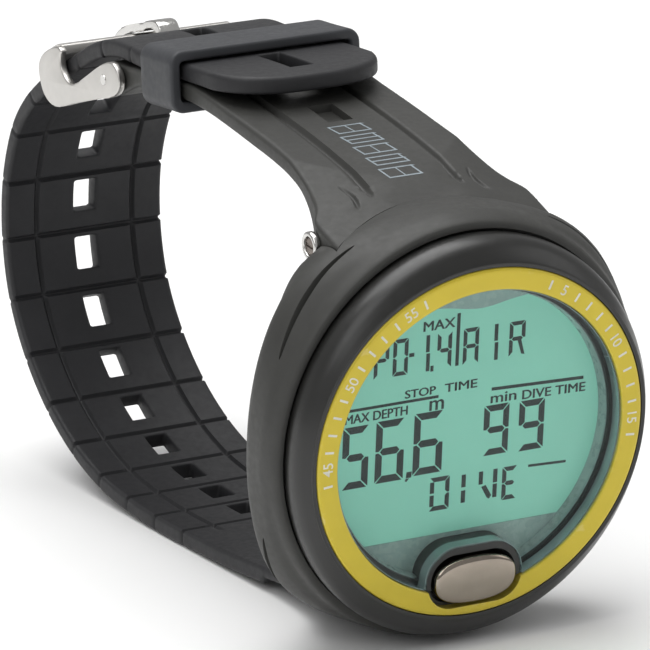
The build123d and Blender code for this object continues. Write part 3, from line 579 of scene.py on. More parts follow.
# ------------------------------------------------------------------ the long strap
def build_long_strap():
    slots = []
    for k in range(-5, 11):
        s = k * 10 + 1.2
        slots.append((ARC_B - s - 5.5, ARC_B - s))
    tail_slot = (ARC_B + 70.0, ARC_B + 81.5)
    slots.append(tail_slot)
    grooves = [ARC_B - 10.0 * k for k in range(-5, 11)]
    gx = 8.94
    GW, GD = 0.52, 0.62
    gl = [-0.52, -0.36, -0.22, -0.08, 0.08, 0.22, 0.36, 0.52]
    col_sp = [0, 1.97, 2.08, 2.22, 2.45, LUG + 0.15, LUG + 0.18] + [gx + d for d in gl] + [7.7 + d for d in (-0.5, -0.3, -0.12, 0.12, 0.3, 0.5)] + [1.2]
    inner_cols = half_columns(col_sp, 0.85, TOP)
    cols = build_columns(inner_cols, EDGE)
    sp = []
    for g in grooves:
        sp += [g + d for d in gl]
    for a, b in slots:
        sp += [a - 0.45, a - 0.2, a - 0.07, a, a + 0.14, a + 0.32, b - 0.32, b - 0.14, b, b + 0.07, b + 0.2, b + 0.45]
    last = ARC_END - 20.0
    arcs = lines(0.0, last, 0.8, sp)
    tau_arcs = lines(last, ARC_END, 0.5, [s for s in sp if s > last] + [ARC_END - 0.05, ARC_END - 0.15, ARC_END - 0.3, ARC_END - 0.5, ARC_END - 0.8])[1:]
    # ear rows
    O = [(0, -32.35), (21.2, -32.65), (22.4, -32.95), (23.8, -33.3), (25.4, -33.7), (27.6, -34.25), (30.5, -34.95), (34.0, -35.7), (37.8, -36.55), None]
    p0, n0 = on_path(0.0)
    O[-1] = tuple(p0 + n0 * T)
    per = 5
    rows_out, rows_in, rows_x = [], [], []
    ear_n = (len(O) - 1) * per
    tables = {}

    def ear_tables(x):
        ax = round(abs(x), 3)
        if ax in tables:
            return tables[ax]
        y0 = yf(ax)
        o = [(y0, -32.35)] + O[1:]
        if ax <= LUG + 0.16:
            i = [(y0, -30.1), (20.7, -30.1), (22.2, -29.55), (23.1, -28.4), (23.4, -26.2), (26.2, -28.7), (29.0, -31.2), (34.0, -33.0), (38.0, -33.85), tuple(p0)]
            ii = []
            # straight stretches keep the lug's corner
            for a, b in zip(i[:5], i[1:6]):
                ii += [tuple(np.array(a) + (np.array(b) - np.array(a)) * k / per) for k in range(per)]
            ii += spline(i[5:], per)
        else:
            z0 = -PIN_Z + math.sqrt(max(14.44 - (y0 - PIN_Y) ** 2, 2.89))
            y1 = y0 + 0.55 * (PIN_Y - y0)
            z1 = -PIN_Z + math.sqrt(max(14.44 - (y1 - PIN_Y) ** 2, 2.89))
            i = [(y0, z0), (y1, z1), (PIN_Y, -23.5), (22.7, -24.15), (24.4, -25.9), (26.3, -28.7), (29.0, -31.2), (34.0, -33.0), (38.0, -33.85), tuple(p0)]
            ii = spline(i, per)
        tables[ax] = (np.array(spline(o, per)), np.array(ii))
        return tables[ax]

    for r in range(ear_n):
        oy = np.array(spline([(yf(0), -32.35)] + O[1:], per))[r][0]
        hx = flare(oy)
        xs = column_x(cols, hx, TOP)
        po, pi = [], []
        for x in xs:
            o, i = ear_tables(x if abs(x) > LUG + 0.16 else 0.0 + abs(x))
            so, si = arched(o[r], x), i[r]
            dist = hx - abs(x)
            drop = float(round_off(dist, 0.7))
            v = so - si
            v = v / max(np.linalg.norm(v), 1e-6)
            lim = 0.45 * np.linalg.norm(so - si)
            so = so - v * min(drop, lim)
            si = si + v * min(drop, lim)
            po.append((x, *so))
            pi.append((x, *si))
        rows_out.append(po)
        rows_in.append(pi)
    row_arc = [None] * ear_n
    tail_half = HX

    def boundary(x):
        """Distance from the tip at which the tail's outline passes half width x."""
        c = min(1.0, abs(x) / tail_half) ** (1 / 0.72)
        a = math.acos(min(1.0, c))
        return 12.0 - 12.0 * math.sin(a) ** 0.85

    allarcs = arcs + tau_arcs
    for a in allarcs:
        hx = HX
        if a < 4:
            yy = on_path(a)[0][0]
            hx = flare(yy)
        nick = sum(float(groove(a - g, 0.45, 0.16)) for g in grooves if g < ARC_END - 30)
        xs = column_x(cols, hx, TOP)
        po, pi = [], []
        for (sgn, kind, val), x in zip(cols, xs):
            aa = a
            tip = 99.0
            if a > last:
                ub = boundary(x)
                tau = (ARC_END - a) / 20.0
                u = ub + (20.0 - ub) * tau
                aa = ARC_END - u
                tip = u - ub
                if abs(x) > 9:
                    tip = tip * (0.35 + 0.65 * max(0.0, (HX - abs(x)) / 5.5))
            # slot corners
            xx = x
            for (s0, s1) in slots:
                if kind == "x" and abs(val - 1.97) < 1e-6:
                    e = min(aa - s0, s1 - aa) if s0 <= aa <= s1 else (-(s0 - aa) if aa < s0 else -(aa - s1))
                    if 0 <= e < 0.4:
                        xx = sgn * (abs(x) - (0.4 - math.sqrt(max(0.0, 0.16 - (0.4 - e) ** 2))))
                    elif -0.45 < e < 0:
                        xx = sgn * (abs(x) - 0.4 * (1 + e / 0.45))
            p, nrm = on_path(aa)
            dist = min(hx - abs(x), tip)
            outer_drop = float(round_off(dist, 0.9))
            inner_drop = float(round_off(dist, 0.6))
            # soft lips round the slots
            lip = 0.0
            for (s0, s1) in slots:
                da = max(s0 - aa, aa - s1, 0.0)
                if da < 0.5:
                    db = max(abs(x) - 1.97, 0.0)
                    dd = math.hypot(da, db)
                    if dd < 0.3:
                        lip = max(lip, float(round_off(dd, 0.28)))
            g_in = 0.0
            if aa < ARC_END - 30:
                for g in grooves:
                    if abs(aa - g) < GW:
                        g_in = max(g_in, float(groove(aa - g, GW, GD)))
                if grooves[-1] - 0.0 <= aa:
                    g_in = max(g_in, float(groove(abs(x) - gx, GW, GD)))
                else:
                    fade = max(0.0, 1 - (grooves[-1] - aa) / 4.0)
                    g_in = max(g_in, float(groove(abs(x) - gx, GW, GD)) * fade)
            # faint pillow of each cell on the wrist side
            pil = 0.0
            if grooves[-1] < aa < ARC_END - 30:
                ph = ((ARC_B - aa) / 10.0) % 1.0
                pil = 0.05 * math.sin(math.pi * ph) ** 0.6
                pil = -pil
            g_out = 0.0
            if 14.0 < aa < ARC_END - 84:
                fade = min(1.0, (aa - 14.0) / 4.0, (ARC_END - 84 - aa) / 4.0)
                g_out = float(groove(abs(x) - 7.7, 0.5, 0.4)) * fade
            side = abs(x) > hx - 0.5
            if side and nick:
                xx = sgn * (abs(xx) - nick * min(1.0, (abs(x) - hx + 0.5) / 0.4))
            qo = p + nrm * (T - outer_drop - lip - g_out)
            qi = p + nrm * (inner_drop + lip + g_in + pil * (1 if dist > 0.6 else dist / 0.6))
            po.append((xx, *qo))
            pi.append((xx, *qi))
        rows_out.append(po)
        rows_in.append(pi)
        row_arc.append(a)
    P_out, P_in = np.array(rows_out), np.array(rows_in)
    R, C = P_out.shape[:2]
    hole = np.zeros((R - 1, C - 1), bool)
    vals = [(s * v if k == "x" else 99 * s) for s, k, v in cols]
    for r in range(R - 1):
        if row_arc[r] is None or row_arc[r + 1] is None:
            continue
        m = (row_arc[r] + row_arc[r + 1]) / 2
        if any(s0 < m < s1 for s0, s1 in slots):
            for c in range(C - 1):
                if abs((vals[c] + vals[c + 1]) / 2) < 1.97:
                    hole[r, c] = True
    v, f = solid_from_grid(P_out, P_in, hole)
    return make("strap_long_band", v, f, ROOT, M["strap_long"], ["strap_long"], angle=42)


build_long_strap()


# ------------------------------------------------------------------ the short strap
def build_short_strap():
    O = [(0, 32.35), (21.2, 32.68), (22.4, 33.05), (23.8, 33.45), (25.4, 33.8), (27.6, 34.2), (30.5, 34.6), (34.0, 34.95), (38.0, 35.3), (44.0, 35.68), (50.0, 35.92),
         (57.0, 36.13), (65.0, 36.24), (71.0, 35.96), (77.5, 34.87), (83.0, 33.94), (88.0, 33.08), (93.0, 32.05), (96.0, 31.55), (98.7, 31.0), (100.0, 29.9), (100.42, 28.6)]
    I = [(0, 0), (0, 0), (PIN_Y, 23.5), (22.7, 24.15), (24.4, 25.7), (26.0, 27.2), (28.4, 29.3), (32.0, 31.25), (37.0, 32.3), (44.0, 32.85), (50.0, 33.1),
         (57.0, 33.38), (65.0, 33.48), (71.0, 33.15), (77.5, 32.2), (83.0, 31.25), (88.0, 30.2), (92.0, 28.2), (95.5, 26.15), (98.4, 25.75), (99.9, 26.9), (100.42, 28.4)]
    per = 8
    gx = 7.7
    col_sp = [0, 2.1, 2.18, 2.3, 3.0, 3.12, LUG + 0.15, LUG + 0.18, 1.2, 10.0, 10.14, 10.28, 10.42, 10.56, 10.7, 10.83, 11.1, 11.23, 11.36, 11.49] + [gx + d for d in (-0.8, -0.6, -0.42, -0.26, -0.1, 0.1, 0.26, 0.42, 0.6, 0.8)]
    cols = build_columns(half_columns(col_sp, 0.7, TOP), EDGE)
    tables = {}

    def tab(x):
        ax = round(abs(x), 3)
        if ax in tables:
            return tables[ax]
        y0 = yf(ax)
        o = spline([(y0, 32.35)] + O[1:], per)
        if ax <= LUG + 0.16:
            i = [(y0, 30.1), (20.7, 30.1), (22.2, 29.55), (23.1, 28.4), (23.4, 26.2), (26.0, 27.2)] + I[6:]
            ii = []
            for a, b in zip(i[:5], i[1:6]):
                ii += [tuple(np.array(a) + (np.array(b) - np.array(a)) * k / per) for k in range(per)]
            ii += spline(i[5:], per)
        else:
            z0 = PIN_Z - math.sqrt(max(14.44 - (y0 - PIN_Y) ** 2, 2.89))
            y1 = y0 + 0.55 * (PIN_Y - y0)
            z1 = PIN_Z - math.sqrt(max(14.44 - (y1 - PIN_Y) ** 2, 2.89))
            ii = spline([(y0, z0), (y1, z1)] + I[2:], per)
        tables[ax] = (np.array(o), np.array(ii))
        return tables[ax]

    base = np.array(spline([(yf(0), 32.35)] + O[1:], per))
    # rows about 0.55 apart along the strap
    R0 = len(base)
    params = []
    for r in range(R0 - 1):
        y0, y1 = base[r][0], base[r + 1][0]
        n = max(1, int(math.ceil(abs(y1 - y0) / 0.55)))
        params += [r + k / n for k in range(n)]
    params.append(R0 - 1.0)

    def value(arr, t):
        r = min(int(t), len(arr) - 2)
        return arr[r] + (arr[r + 1] - arr[r]) * (t - r)

    # snap rows to the recess ends
    ys = [value(base, t)[0] for t in params]
    for target in (47.5, 47.65, 54.35, 54.5, 92.6):
        for k in range(len(ys) - 1):
            if ys[k] < target < ys[k + 1] and target - ys[k] > 0.02 and ys[k + 1] - target > 0.02:
                f = (target - ys[k]) / (ys[k + 1] - ys[k])
                params.insert(k + 1, params[k] + (params[k + 1] - params[k]) * f)
                ys.insert(k + 1, target)
                break
    rows_out, rows_in, row_y = [], [], []
    arc_c = (12.3, 27.0)
    for t in params:
        yb = value(base, t)[0]
        hx = flare(yb)
        xs = column_x(cols, hx, TOP)
        po, pi = [], []
        for (sgn, kind, val), x in zip(cols, xs):
            o, i = tab(x)
            so, si = arched(value(o, t), x), value(i, t)
            v = so - si
            L = np.linalg.norm(v)
            v = v / max(L, 1e-6)
            dist = hx - abs(x)
            drop = float(round_off(dist, 0.75))
            drop_i = float(round_off(dist, 0.6))
            cut = 0.0
            y = so[0]
            ax = abs(x)
            if 18 < y < 70:
                # longitudinal grooves, deep at the keeper end and running out in a point near the body
                end = 22.6
                w = min(1.0, max(0.0, (y - end) / 3.0)) ** 0.6
                if w > 0:
                    cut = max(cut, float(groove(ax - gx, 0.80 * (0.45 + 0.55 * w), 0.95 * w)))
                # the band between them stands a little proud of the shoulders
                if ax > gx:
                    k = min(1.0, (ax - gx) / 0.5) * min(1.0, max(0.0, (y - end) / 4.0)) * min(1.0, max(0, (66 - y) / 6.0))
                    cut = max(cut, 0.16 * k)
                # short curved groove outboard of each end
                if 20.8 < y < 27.4 and ax > 9.0:
                    xc = 11.2 - 0.7 * math.sin((y - 20.8) / 6.6 * math.pi)
                    w2 = math.sin((y - 20.8) / 6.6 * math.pi) ** 0.5
                    cut = max(cut, float(groove(ax - xc, 0.5, 0.55)) * w2)
            if 47.55 < y < 54.45 and ax <= 2.11:
                cut = max(cut, 1.25)
            so = so - v * min(drop, 0.48 * L) - np.array([0.0, min(cut, 0.45 * L)])
            si = si + v * min(drop_i, 0.48 * L)
            po.append((x, *so))
            pi.append((x, *si))
        rows_out.append(po)
        rows_in.append(pi)
        row_y.append(yb)
    P_out, P_in = np.array(rows_out), np.array(rows_in)
    R, C = P_out.shape[:2]
    hole = np.zeros((R - 1, C - 1), bool)
    vals = [(s * v if k == "x" else 99 * s) for s, k, v in cols]
    for r in range(R - 1):
        if (row_y[r] + row_y[r + 1]) / 2 > 92.6:
            for c in range(C - 1):
                if abs((vals[c] + vals[c + 1]) / 2) < 3.0:
                    hole[r, c] = True
    v, f = solid_from_grid(P_out, P_in, hole)
    make("strap_short_band", v, f, ROOT, M["strap_short"], ["strap_short"], angle=42)
    return base


short_base = build_short_strap()


def short_top_z(y):
    b = short_base[np.argsort(short_base[:, 0])]
    return float(np.interp(y, b[:, 0], b[:, 1]))


# generic outlined bars printed on the short strap's middle band
def strap_print():
    s = Soup()

    def bar(x0, x1, ya, yb, skew=0.0, lift=0.03):
        q = [(x0 + skew, ya), (x1 + skew, ya), (x1, yb), (x0, yb)]
        top = [(x, y, short_top_z(y) + lift) for x, y in q]
        bot = [(x, y, short_top_z(y) - 0.10) for x, y in q]
        s.add(top + bot, [(0, 1, 2, 3), (7, 6, 5, 4), (0, 4, 5, 1), (1, 5, 6, 2), (2, 6, 7, 3), (3, 7, 4, 0)])

    y = 45.6
    k = 0
    while y > 26.5:
        w = 0.30
        h = 3.0
        lean = -0.55
        xa, xb = -2.9, 2.9
        # each mark is an outlined slanted block
        ya, yb = y, y - h
        bar(xa, xa + w, ya, yb, lean)
        bar(xb - w, xb, ya, yb, lean)
        bar(xa, xb, ya, ya - w, lean * 0.9 if False else lean * 0.96)
        bar(xa, xb, yb + w, yb, lean * 0.04)
        if k % 2 == 0:
            bar(-0.11, 0.11, ya, yb, lean)
        else:
            bar(xa, xb, (ya + yb) / 2 + w / 2, (ya + yb) / 2 - w / 2, lean * 0.5)
        y -= 4.1
        k += 1
    make("strap_print_marks", s.v, s.f, ROOT, M["print"], fix=True)


strap_print()


# ------------------------------------------------------------------ case rim, guard and ring
CASE_ZC = -0.3


def loft_rows(rows, n=288):
    loops = [oval_ring(d, a, b, zc, n) for d, a, b, zc in rows]
    return loops_mesh(loops, closed=True)


def smooth_rows(rows, per):
    """Catmull-Rom through rows of (d, a, b, zc)."""
    arr = np.array(rows, float)
    out = []
    n = len(arr)
    for i in range(n - 1):
        p1, p2 = arr[i], arr[i + 1]
        p0 = arr[i - 1] if i else 2 * p1 - p2
        p3 = arr[i + 2] if i + 2 < n else 2 * p2 - p1
        for k in range(per):
            t = k / per
            out.append(0.5 * ((2 * p1) + (-p0 + p2) * t + (2 * p0 - 5 * p1 + 4 * p2 - p3) * t * t + (-p0 + 3 * p1 - 3 * p2 + p3) * t ** 3))
    out.append(arr[-1])
    return [tuple(r) for r in out]


def build_ring():
    n = 360
    hxn, hzn, zn = 8.15, 4.33, -22.1

    def ring_loop(r, d):
        return [(r * math.cos(2 * math.pi * k / n), d, r * math.sin(2 * math.pi * k / n)) for k in range(n)]

    prof = [(24.5, 1.6), (24.5, 0.22), (24.54, 0.10), (24.64, 0.02), (24.8, 0.0), (25.4, 0.0), (26.2, 0.0), (27.0, 0.0), (27.42, 0.0), (27.60, 0.03),
            (27.76, 0.11), (27.88, 0.24), (27.96, 0.42), (28.0, 0.65), (28.0, 1.6)]
    v, f = loops_mesh([ring_loop(r, d) for r, d in prof], closed=True)
    ob = make("bezel_ring_turned", v, f, ROOT, M["ring"], ["bezel_ring"], angle=35)
    # the notch for the button
    c = stadium_outline(hxn, hzn, 128)
    cv, cf = loops_mesh([[(x, d, z + zn) for x, z in c] for d in (-1.0, 3.0)], closed=False, caps=True)
    me = bpy.data.meshes.new("cutter")
    me.from_pydata(world(np.array(cv)).tolist(), [], [list(q) for q in cf])
    bm = bmesh.new(); bm.from_mesh(me); bmesh.ops.recalc_face_normals(bm, faces=bm.faces); bm.to_mesh(me); bm.free()
    cutter = bpy.data.objects.new("cutter", me)
    scene.collection.objects.link(cutter)
    cut(ob, [cutter])
    ob.data.shade_smooth()
    ob.data.set_sharp_from_angle(angle=math.radians(35))
    return ob


def stadium_outline(hx, hz, n=96):
    """Closed outline of a stadium, (x, z), n points, even in arc length."""
    s = hx - hz
    pts = []
    m = n // 2
    for side in (1, -1):
        straight = 2 * s
        arc = math.pi * hz
        total = straight + arc
        for k in range(m):
            u = k / m * total
            if u < arc:
                a = -math.pi / 2 + u / hz
                x, z = s + hz * math.cos(a), hz * math.sin(a)
            else:
                x, z = s - (u - arc), hz
            pts.append((side * x, side * z))
    return pts


def cut(ob, cutters, op="DIFFERENCE"):
    for c in cutters:
        m = ob.modifiers.new("cut", "BOOLEAN")
        m.operation = op
        m.solver = "EXACT"
        m.object = c
    bpy.context.view_layer.update()
    dg = bpy.context.evaluated_depsgraph_get()
    me = bpy.data.meshes.new_from_object(ob.evaluated_get(dg))
    mats = [s for s in ob.data.materials]
    ob.modifiers.clear()
    old = ob.data
    ob.data = me
    ob.data.name = ob.name
    if not len(ob.data.materials):
        for s in mats:
            ob.data.materials.append(s)
    bpy.data.meshes.remove(old)
    for c in cutters:
        m = c.data
        bpy.data.objects.remove(c)
        bpy.data.meshes.remove(m)


def tool(name, verts, faces):
    me = bpy.data.meshes.new(name)
    me.from_pydata(world(np.array(verts, float)).tolist(), [], [list(map(int, q)) for q in faces])
    bm = bmesh.new()
    bm.from_mesh(me)
    bmesh.ops.recalc_face_normals(bm, faces=bm.faces)
    bm.to_mesh(me)
    bm.free()
    ob = bpy.data.objects.new(name, me)
    scene.collection.objects.link(ob)
    return ob


def pocket_tool(s, off):
    """The prism behind the strap end's curved seam."""
    xs = np.linspace(-EAR - 0.35, EAR + 0.35, 49)
    front_pts = [(x, yf(x) + off) for x in xs]
    outline = front_pts + [(EAR + 0.35, 60.0), (-EAR - 0.35, 60.0)]
    lo = [(x, y, s * 23.4) for x, y in outline]
    hi = [(x, y, s * 60.0) for x, y in outline]
    n = len(outline)
    verts = lo + hi
    faces = [tuple(range(n)), tuple(range(2 * n - 1, n - 1, -1))] + [(k, (k + 1) % n, n + (k + 1) % n, n + k) for k in range(n)]
    return tool("pocket", verts, faces)


def well_tool(s, e):
    n = 48
    r = 2.75
    loops = []
    for x in (EAR - 0.2, 34.0):
        loops.append([(e * x, PIN_Y + r * math.cos(2 * math.pi * k / n), s * PIN_Z + r * math.sin(2 * math.pi * k / n)) for k in range(n)])
    v, f = loops_mesh(loops, closed=False, caps=True)
    return tool("well", v, f)


def lug_tool(s):
    x = LUG + 0.06
    b = [(-x, 14.44), (x, 14.44), (x, 24.0), (-x, 24.0)]
    z0, z1 = s * 22.0, s * (PIN_Z + 2.66)
    v = [(a, c, z0) for a, c in b] + [(a, c, z1) for a, c in b]
    f = [(0, 1, 2, 3), (7, 6, 5, 4), (0, 4, 5, 1), (1, 5, 6, 2), (2, 6, 7, 3), (3, 7, 4, 0)]
    return tool("lugway", v, f)


def slit_tool(points, width, depth_in, side=1):
    """A thin blade along a line on the guard, given as (x, z, d) points on its surface."""
    P = np.array([(side * x, d, z) for x, z, d in points], float)
    fine = []
    n = len(P)
    for i in range(n - 1):
        for k in range(8):
            t = k / 8
            p0 = P[max(i - 1, 0)]
            p1, p2 = P[i], P[i + 1]
            p3 = P[min(i + 2, n - 1)]
            fine.append(0.5 * ((2 * p1) + (-p0 + p2) * t + (2 * p0 - 5 * p1 + 4 * p2 - p3) * t * t + (-p0 + 3 * p1 - 3 * p2 + p3) * t ** 3))
    fine.append(P[-1])
    fine = np.array(fine)
    m = len(fine)
    loops = []
    for i, p in enumerate(fine):
        tng = fine[min(i + 1, m - 1)] - fine[max(i - 1, 0)]
        tng /= np.linalg.norm(tng)
        rad = np.array([p[0] / 32.3 ** 2, 0.0, (p[2] - CASE_ZC) / 34.25 ** 2])
        rad /= np.linalg.norm(rad)
        side_v = np.cross(tng, rad)
        side_v /= np.linalg.norm(side_v)
        u = i / (m - 1)
        w = width * (0.12 + 0.88 * math.sin(math.pi * u) ** 0.55) if 0 < i < m - 1 else width * 0.12
        dep = depth_in * (0.3 + 0.7 * math.sin(math.pi * u) ** 0.6)
        loops.append([p + rad * 1.2 + side_v * w * 0.75, p + rad * 1.2 - side_v * w * 0.75, p - rad * dep * 0.6 - side_v * w * 0.42, p - rad * dep, p - rad * dep * 0.6 + side_v * w * 0.42])
    v, f = loops_mesh([[tuple(q) for q in l] for l in loops], closed=False, caps=True)
    return tool("slit", v, f)


SH_ANG = (90, 104, 114, 124, 131, 138, 143, 148, 152, 156, 162, 168, 174, 180)
SH = {10.0: (1.000, 1.000, 1.002, 1.016, 1.024, 1.028, 1.028, 1.025, 1.020, 1.015, 1.009, 1.004, 1.001, 1.000),
      14.0: (0.990, 0.994, 1.012, 1.040, 1.055, 1.063, 1.063, 1.055, 1.045, 1.035, 1.020, 1.008, 1.000, 0.997),
      17.5: (0.977, 0.981, 0.994, 1.020, 1.033, 1.026, 0.998, 0.980, 0.969, 0.960, 0.951, 0.944, 0.941, 0.940),
      20.3: (0.955, 0.957, 0.962, 0.970, 0.968, 0.945, 0.918, 0.898, 0.888, 0.881, 0.874, 0.869, 0.866, 0.865)}


def folded(deg):
    a = abs((deg + 180.0) % 360.0 - 180.0)
    return 180.0 - a if a < 90.0 else a


def guard_ratio(deg, d):
    """Size of the guard's section, against its widest oval, at an angle and a depth behind the ring's front."""
    vals = []
    for depth, row in SH.items():
        vals.append(sum(float(np.interp(folded(deg + o), SH_ANG, row)) for o in (-3.0, -1.0, 1.0, 3.0)) / 4)
    t = math.radians(deg)
    c2, s2 = math.cos(t) ** 2, math.sin(t) ** 2
    fr = [(q, a / 32.3 * c2 + (a + 1.99) / 34.25 * s2) for q, a in ((6.3, 30.42), (6.36, 30.95), (6.62, 31.40), (7.25, 31.74), (8.4, 32.05))]
    ds = [q[0] for q in fr] + [10.0, 14.0, 17.5, 20.3]
    vs = [q[1] for q in fr] + vals
    # monotone cubic through the rows
    h = np.diff(ds)
    dl = np.diff(vs) / h
    m = np.zeros(len(ds))
    m[0], m[-1] = dl[0], dl[-1] * 1.7
    for i in range(1, len(ds) - 1):
        m[i] = 0.0 if dl[i - 1] * dl[i] <= 0 else 2 * dl[i - 1] * dl[i] / (dl[i - 1] + dl[i])
    i = int(np.clip(np.searchsorted(ds, d) - 1, 0, len(ds) - 2))
    u = min(1.0, max(0.0, (d - ds[i]) / h[i]))
    return float((2 * u ** 3 - 3 * u ** 2 + 1) * vs[i] + (u ** 3 - 2 * u ** 2 + u) * h[i] * m[i] + (-2 * u ** 3 + 3 * u ** 2) * vs[i + 1] + (u ** 3 - u ** 2) * h[i] * m[i + 1])


def build_guard():
    n = 384
    ds = [6.30, 6.315, 6.335, 6.36, 6.40, 6.46, 6.53, 6.62, 6.72, 6.85, 7.0, 7.2, 7.5, 7.9, 8.4, 9.0, 9.7, 10.4, 11.2, 12.0, 12.8, 13.6, 14.4, 15.1, 15.8, 16.5, 17.1, 17.7, 18.3, 18.9, 19.4, 19.8, 20.1, 20.3]
    loops = [[(x, d + 0.12, z) for x, d, z in oval_ring(6.3, 30.28, 32.27, CASE_ZC, n)]]
    for d in ds:
        loop = []
        for k in range(n):
            t = 2 * math.pi * k / n
            r = guard_ratio(math.degrees(t), d) - (0.012 if d == 20.3 else 0.004 if d == 20.1 else 0.0)
            loop.append((32.3 * r * math.cos(t), d, CASE_ZC + 34.25 * r * math.sin(t)))
        loops.append(loop)
    inner_ = [(20.3, 26.4, 28.6), (20.2, 26.1, 28.3), (16.2, 28.65, 30.65), (7.75, 28.65, 30.65), (7.75, 30.12, 32.12), (7.6, 30.18, 32.18), (6.7, 30.20, 32.20), (6.5, 30.24, 32.24)]
    loops += [oval_ring(d, a, b, CASE_ZC, n) for d, a, b in inner_]
    v, f = loops_mesh(loops, closed=True)
    ob = make("outer_guard_skin", v, f, ROOT, M["guard"], ["outer_guard"], angle=40)
    tools = [pocket_tool(1, -0.22), pocket_tool(-1, -0.22)]
    tools += [well_tool(s, e) for s in (1, -1) for e in (1, -1)]
    tools += [lug_tool(1), lug_tool(-1)]
    upper = [(-16.1, 29.2, 12.0), (-20.5, 25.9, 11.6), (-23.7, 22.4, 11.0), (-26.0, 18.5, 10.5), (-28.6, 14.0, 10.0)]
    lower = [(-29.4, -14.6, 12.0), (-27.6, -18.2, 13.0), (-25.4, -21.7, 14.0), (-21.7, -25.7, 15.0)]

    def onto(points):
        out = []
        for x, z, d in points:
            t = math.atan2((z - CASE_ZC) / 34.25, x / 32.3)
            r = guard_ratio(math.degrees(t), d)
            out.append((32.3 * r * math.cos(t), CASE_ZC + 34.25 * r * math.sin(t), d))
        return out

    for pts in (upper, lower):
        for sd in (1, -1):
            tools.append(slit_tool(onto(pts), 0.85, 1.5, sd))
    cut(ob, tools)
    # the flat foot
    bm = bmesh.new()
    bm.from_mesh(ob.data)
    geom = bm.verts[:] + bm.edges[:] + bm.faces[:]
    bmesh.ops.bisect_plane(bm, geom=geom, plane_co=(0, 0, 0.0), plane_no=(0, 0, -1), clear_outer=True)
    edges = [e for e in bm.edges if e.is_boundary]
    bmesh.ops.holes_fill(bm, edges=edges, sides=0)
    bmesh.ops.recalc_face_normals(bm, faces=bm.faces)
    bm.to_mesh(ob.data)
    bm.free()
    ob.data.shade_smooth()
    ob.data.set_sharp_from_angle(angle=math.radians(34))
    return ob


def build_rim():
    """The body's front torus, a skin over the body's own rim."""
    prof = smooth_rows([(0.30, 28.16, 28.16, 0.0), (0.22, 28.34, 28.40, 0.0), (0.24, 28.55, 28.75, -0.03), (0.55, 28.78, 29.35, -0.1), (1.15, 29.25, 30.25, -0.2), (1.95, 29.78, 31.22, -0.3), (3.0, 30.20, 31.95, -0.38), (4.2, 30.36, 32.23, -0.4),
                        (5.3, 30.30, 32.2, -0.4), (6.3, 30.08, 32.05, -0.4), (7.1, 29.86, 31.86, -0.4), (7.4, 29.8, 31.8, -0.4)], 5)
    inner_ = [(7.4, 29.2, 30.9, -0.3), (2.2, 28.6, 29.3, -0.1), (1.0, 28.14, 28.14, 0.0)]
    v, f = loft_rows(prof + inner_, 384)
    return make("case_rim_skin", v, f, ROOT, M["rim"], angle=40)


build_guard()
build_rim()
build_ring()


# ------------------------------------------------------------------ marks on the ring
def ring_marks():
    s = Soup()
    R = 26.15

    def place(v, f, theta, r, rot=0.0):
        """Puts flat artwork (x right, y up) at angle theta on the ring, its up pointing outward."""
        out = []
        t = math.radians(theta)
        a = t - math.pi / 2 + rot
        ca, sa = math.cos(a), math.sin(a)
        for x, y, z in v:
            X = x * ca - y * sa + r * math.cos(t)
            Z = x * sa + y * ca + r * math.sin(t)
            out.append((X, -z, Z))
        s.add(out, f)

    def tick(theta, r0, r1, w):
        v = [(-w / 2, 0, 0.02), (w / 2, 0, 0.02), (w / 2, r1 - r0, 0.02), (-w / 2, r1 - r0, 0.02), (-w / 2, 0, -0.05), (w / 2, 0, -0.05), (w / 2, r1 - r0, -0.05), (-w / 2, r1 - r0, -0.05)]
        f = [(0, 1, 2, 3), (7, 6, 5, 4), (0, 4, 5, 1), (1, 5, 6, 2), (2, 6, 7, 3), (3, 7, 4, 0)]
        place(v, f, theta, r0)

    for k in range(-2, 13):
        th = 6 * k
        if th % 30 and -6 <= th <= 66:
            tick(th, 25.45, 26.95, 0.36)
            tick(180 - th, 25.45, 26.95, 0.36)
    for th, label in ((60, "5"), (30, "10"), (0, "15"), (180, "45"), (150, "50"), (120, "55")):
        v, f = text_polys(label, 2.35, 0.035, 0.012)
        v = v.copy()
        w = (v[:, 0].min() + v[:, 0].max()) / 2
        h = (v[:, 1].min() + v[:, 1].max()) / 2
        v[:, 0] -= w
        v[:, 1] -= h
        v[:, 2] = v[:, 2] * 1.0 - 0.015
        place(v, f, th, 26.2)
    make("bezel_ring_marks", s.v, s.f, ROOT, M["mark"], fix=False)


ring_marks()


# ------------------------------------------------------------------ display
LCD_D = 5.0


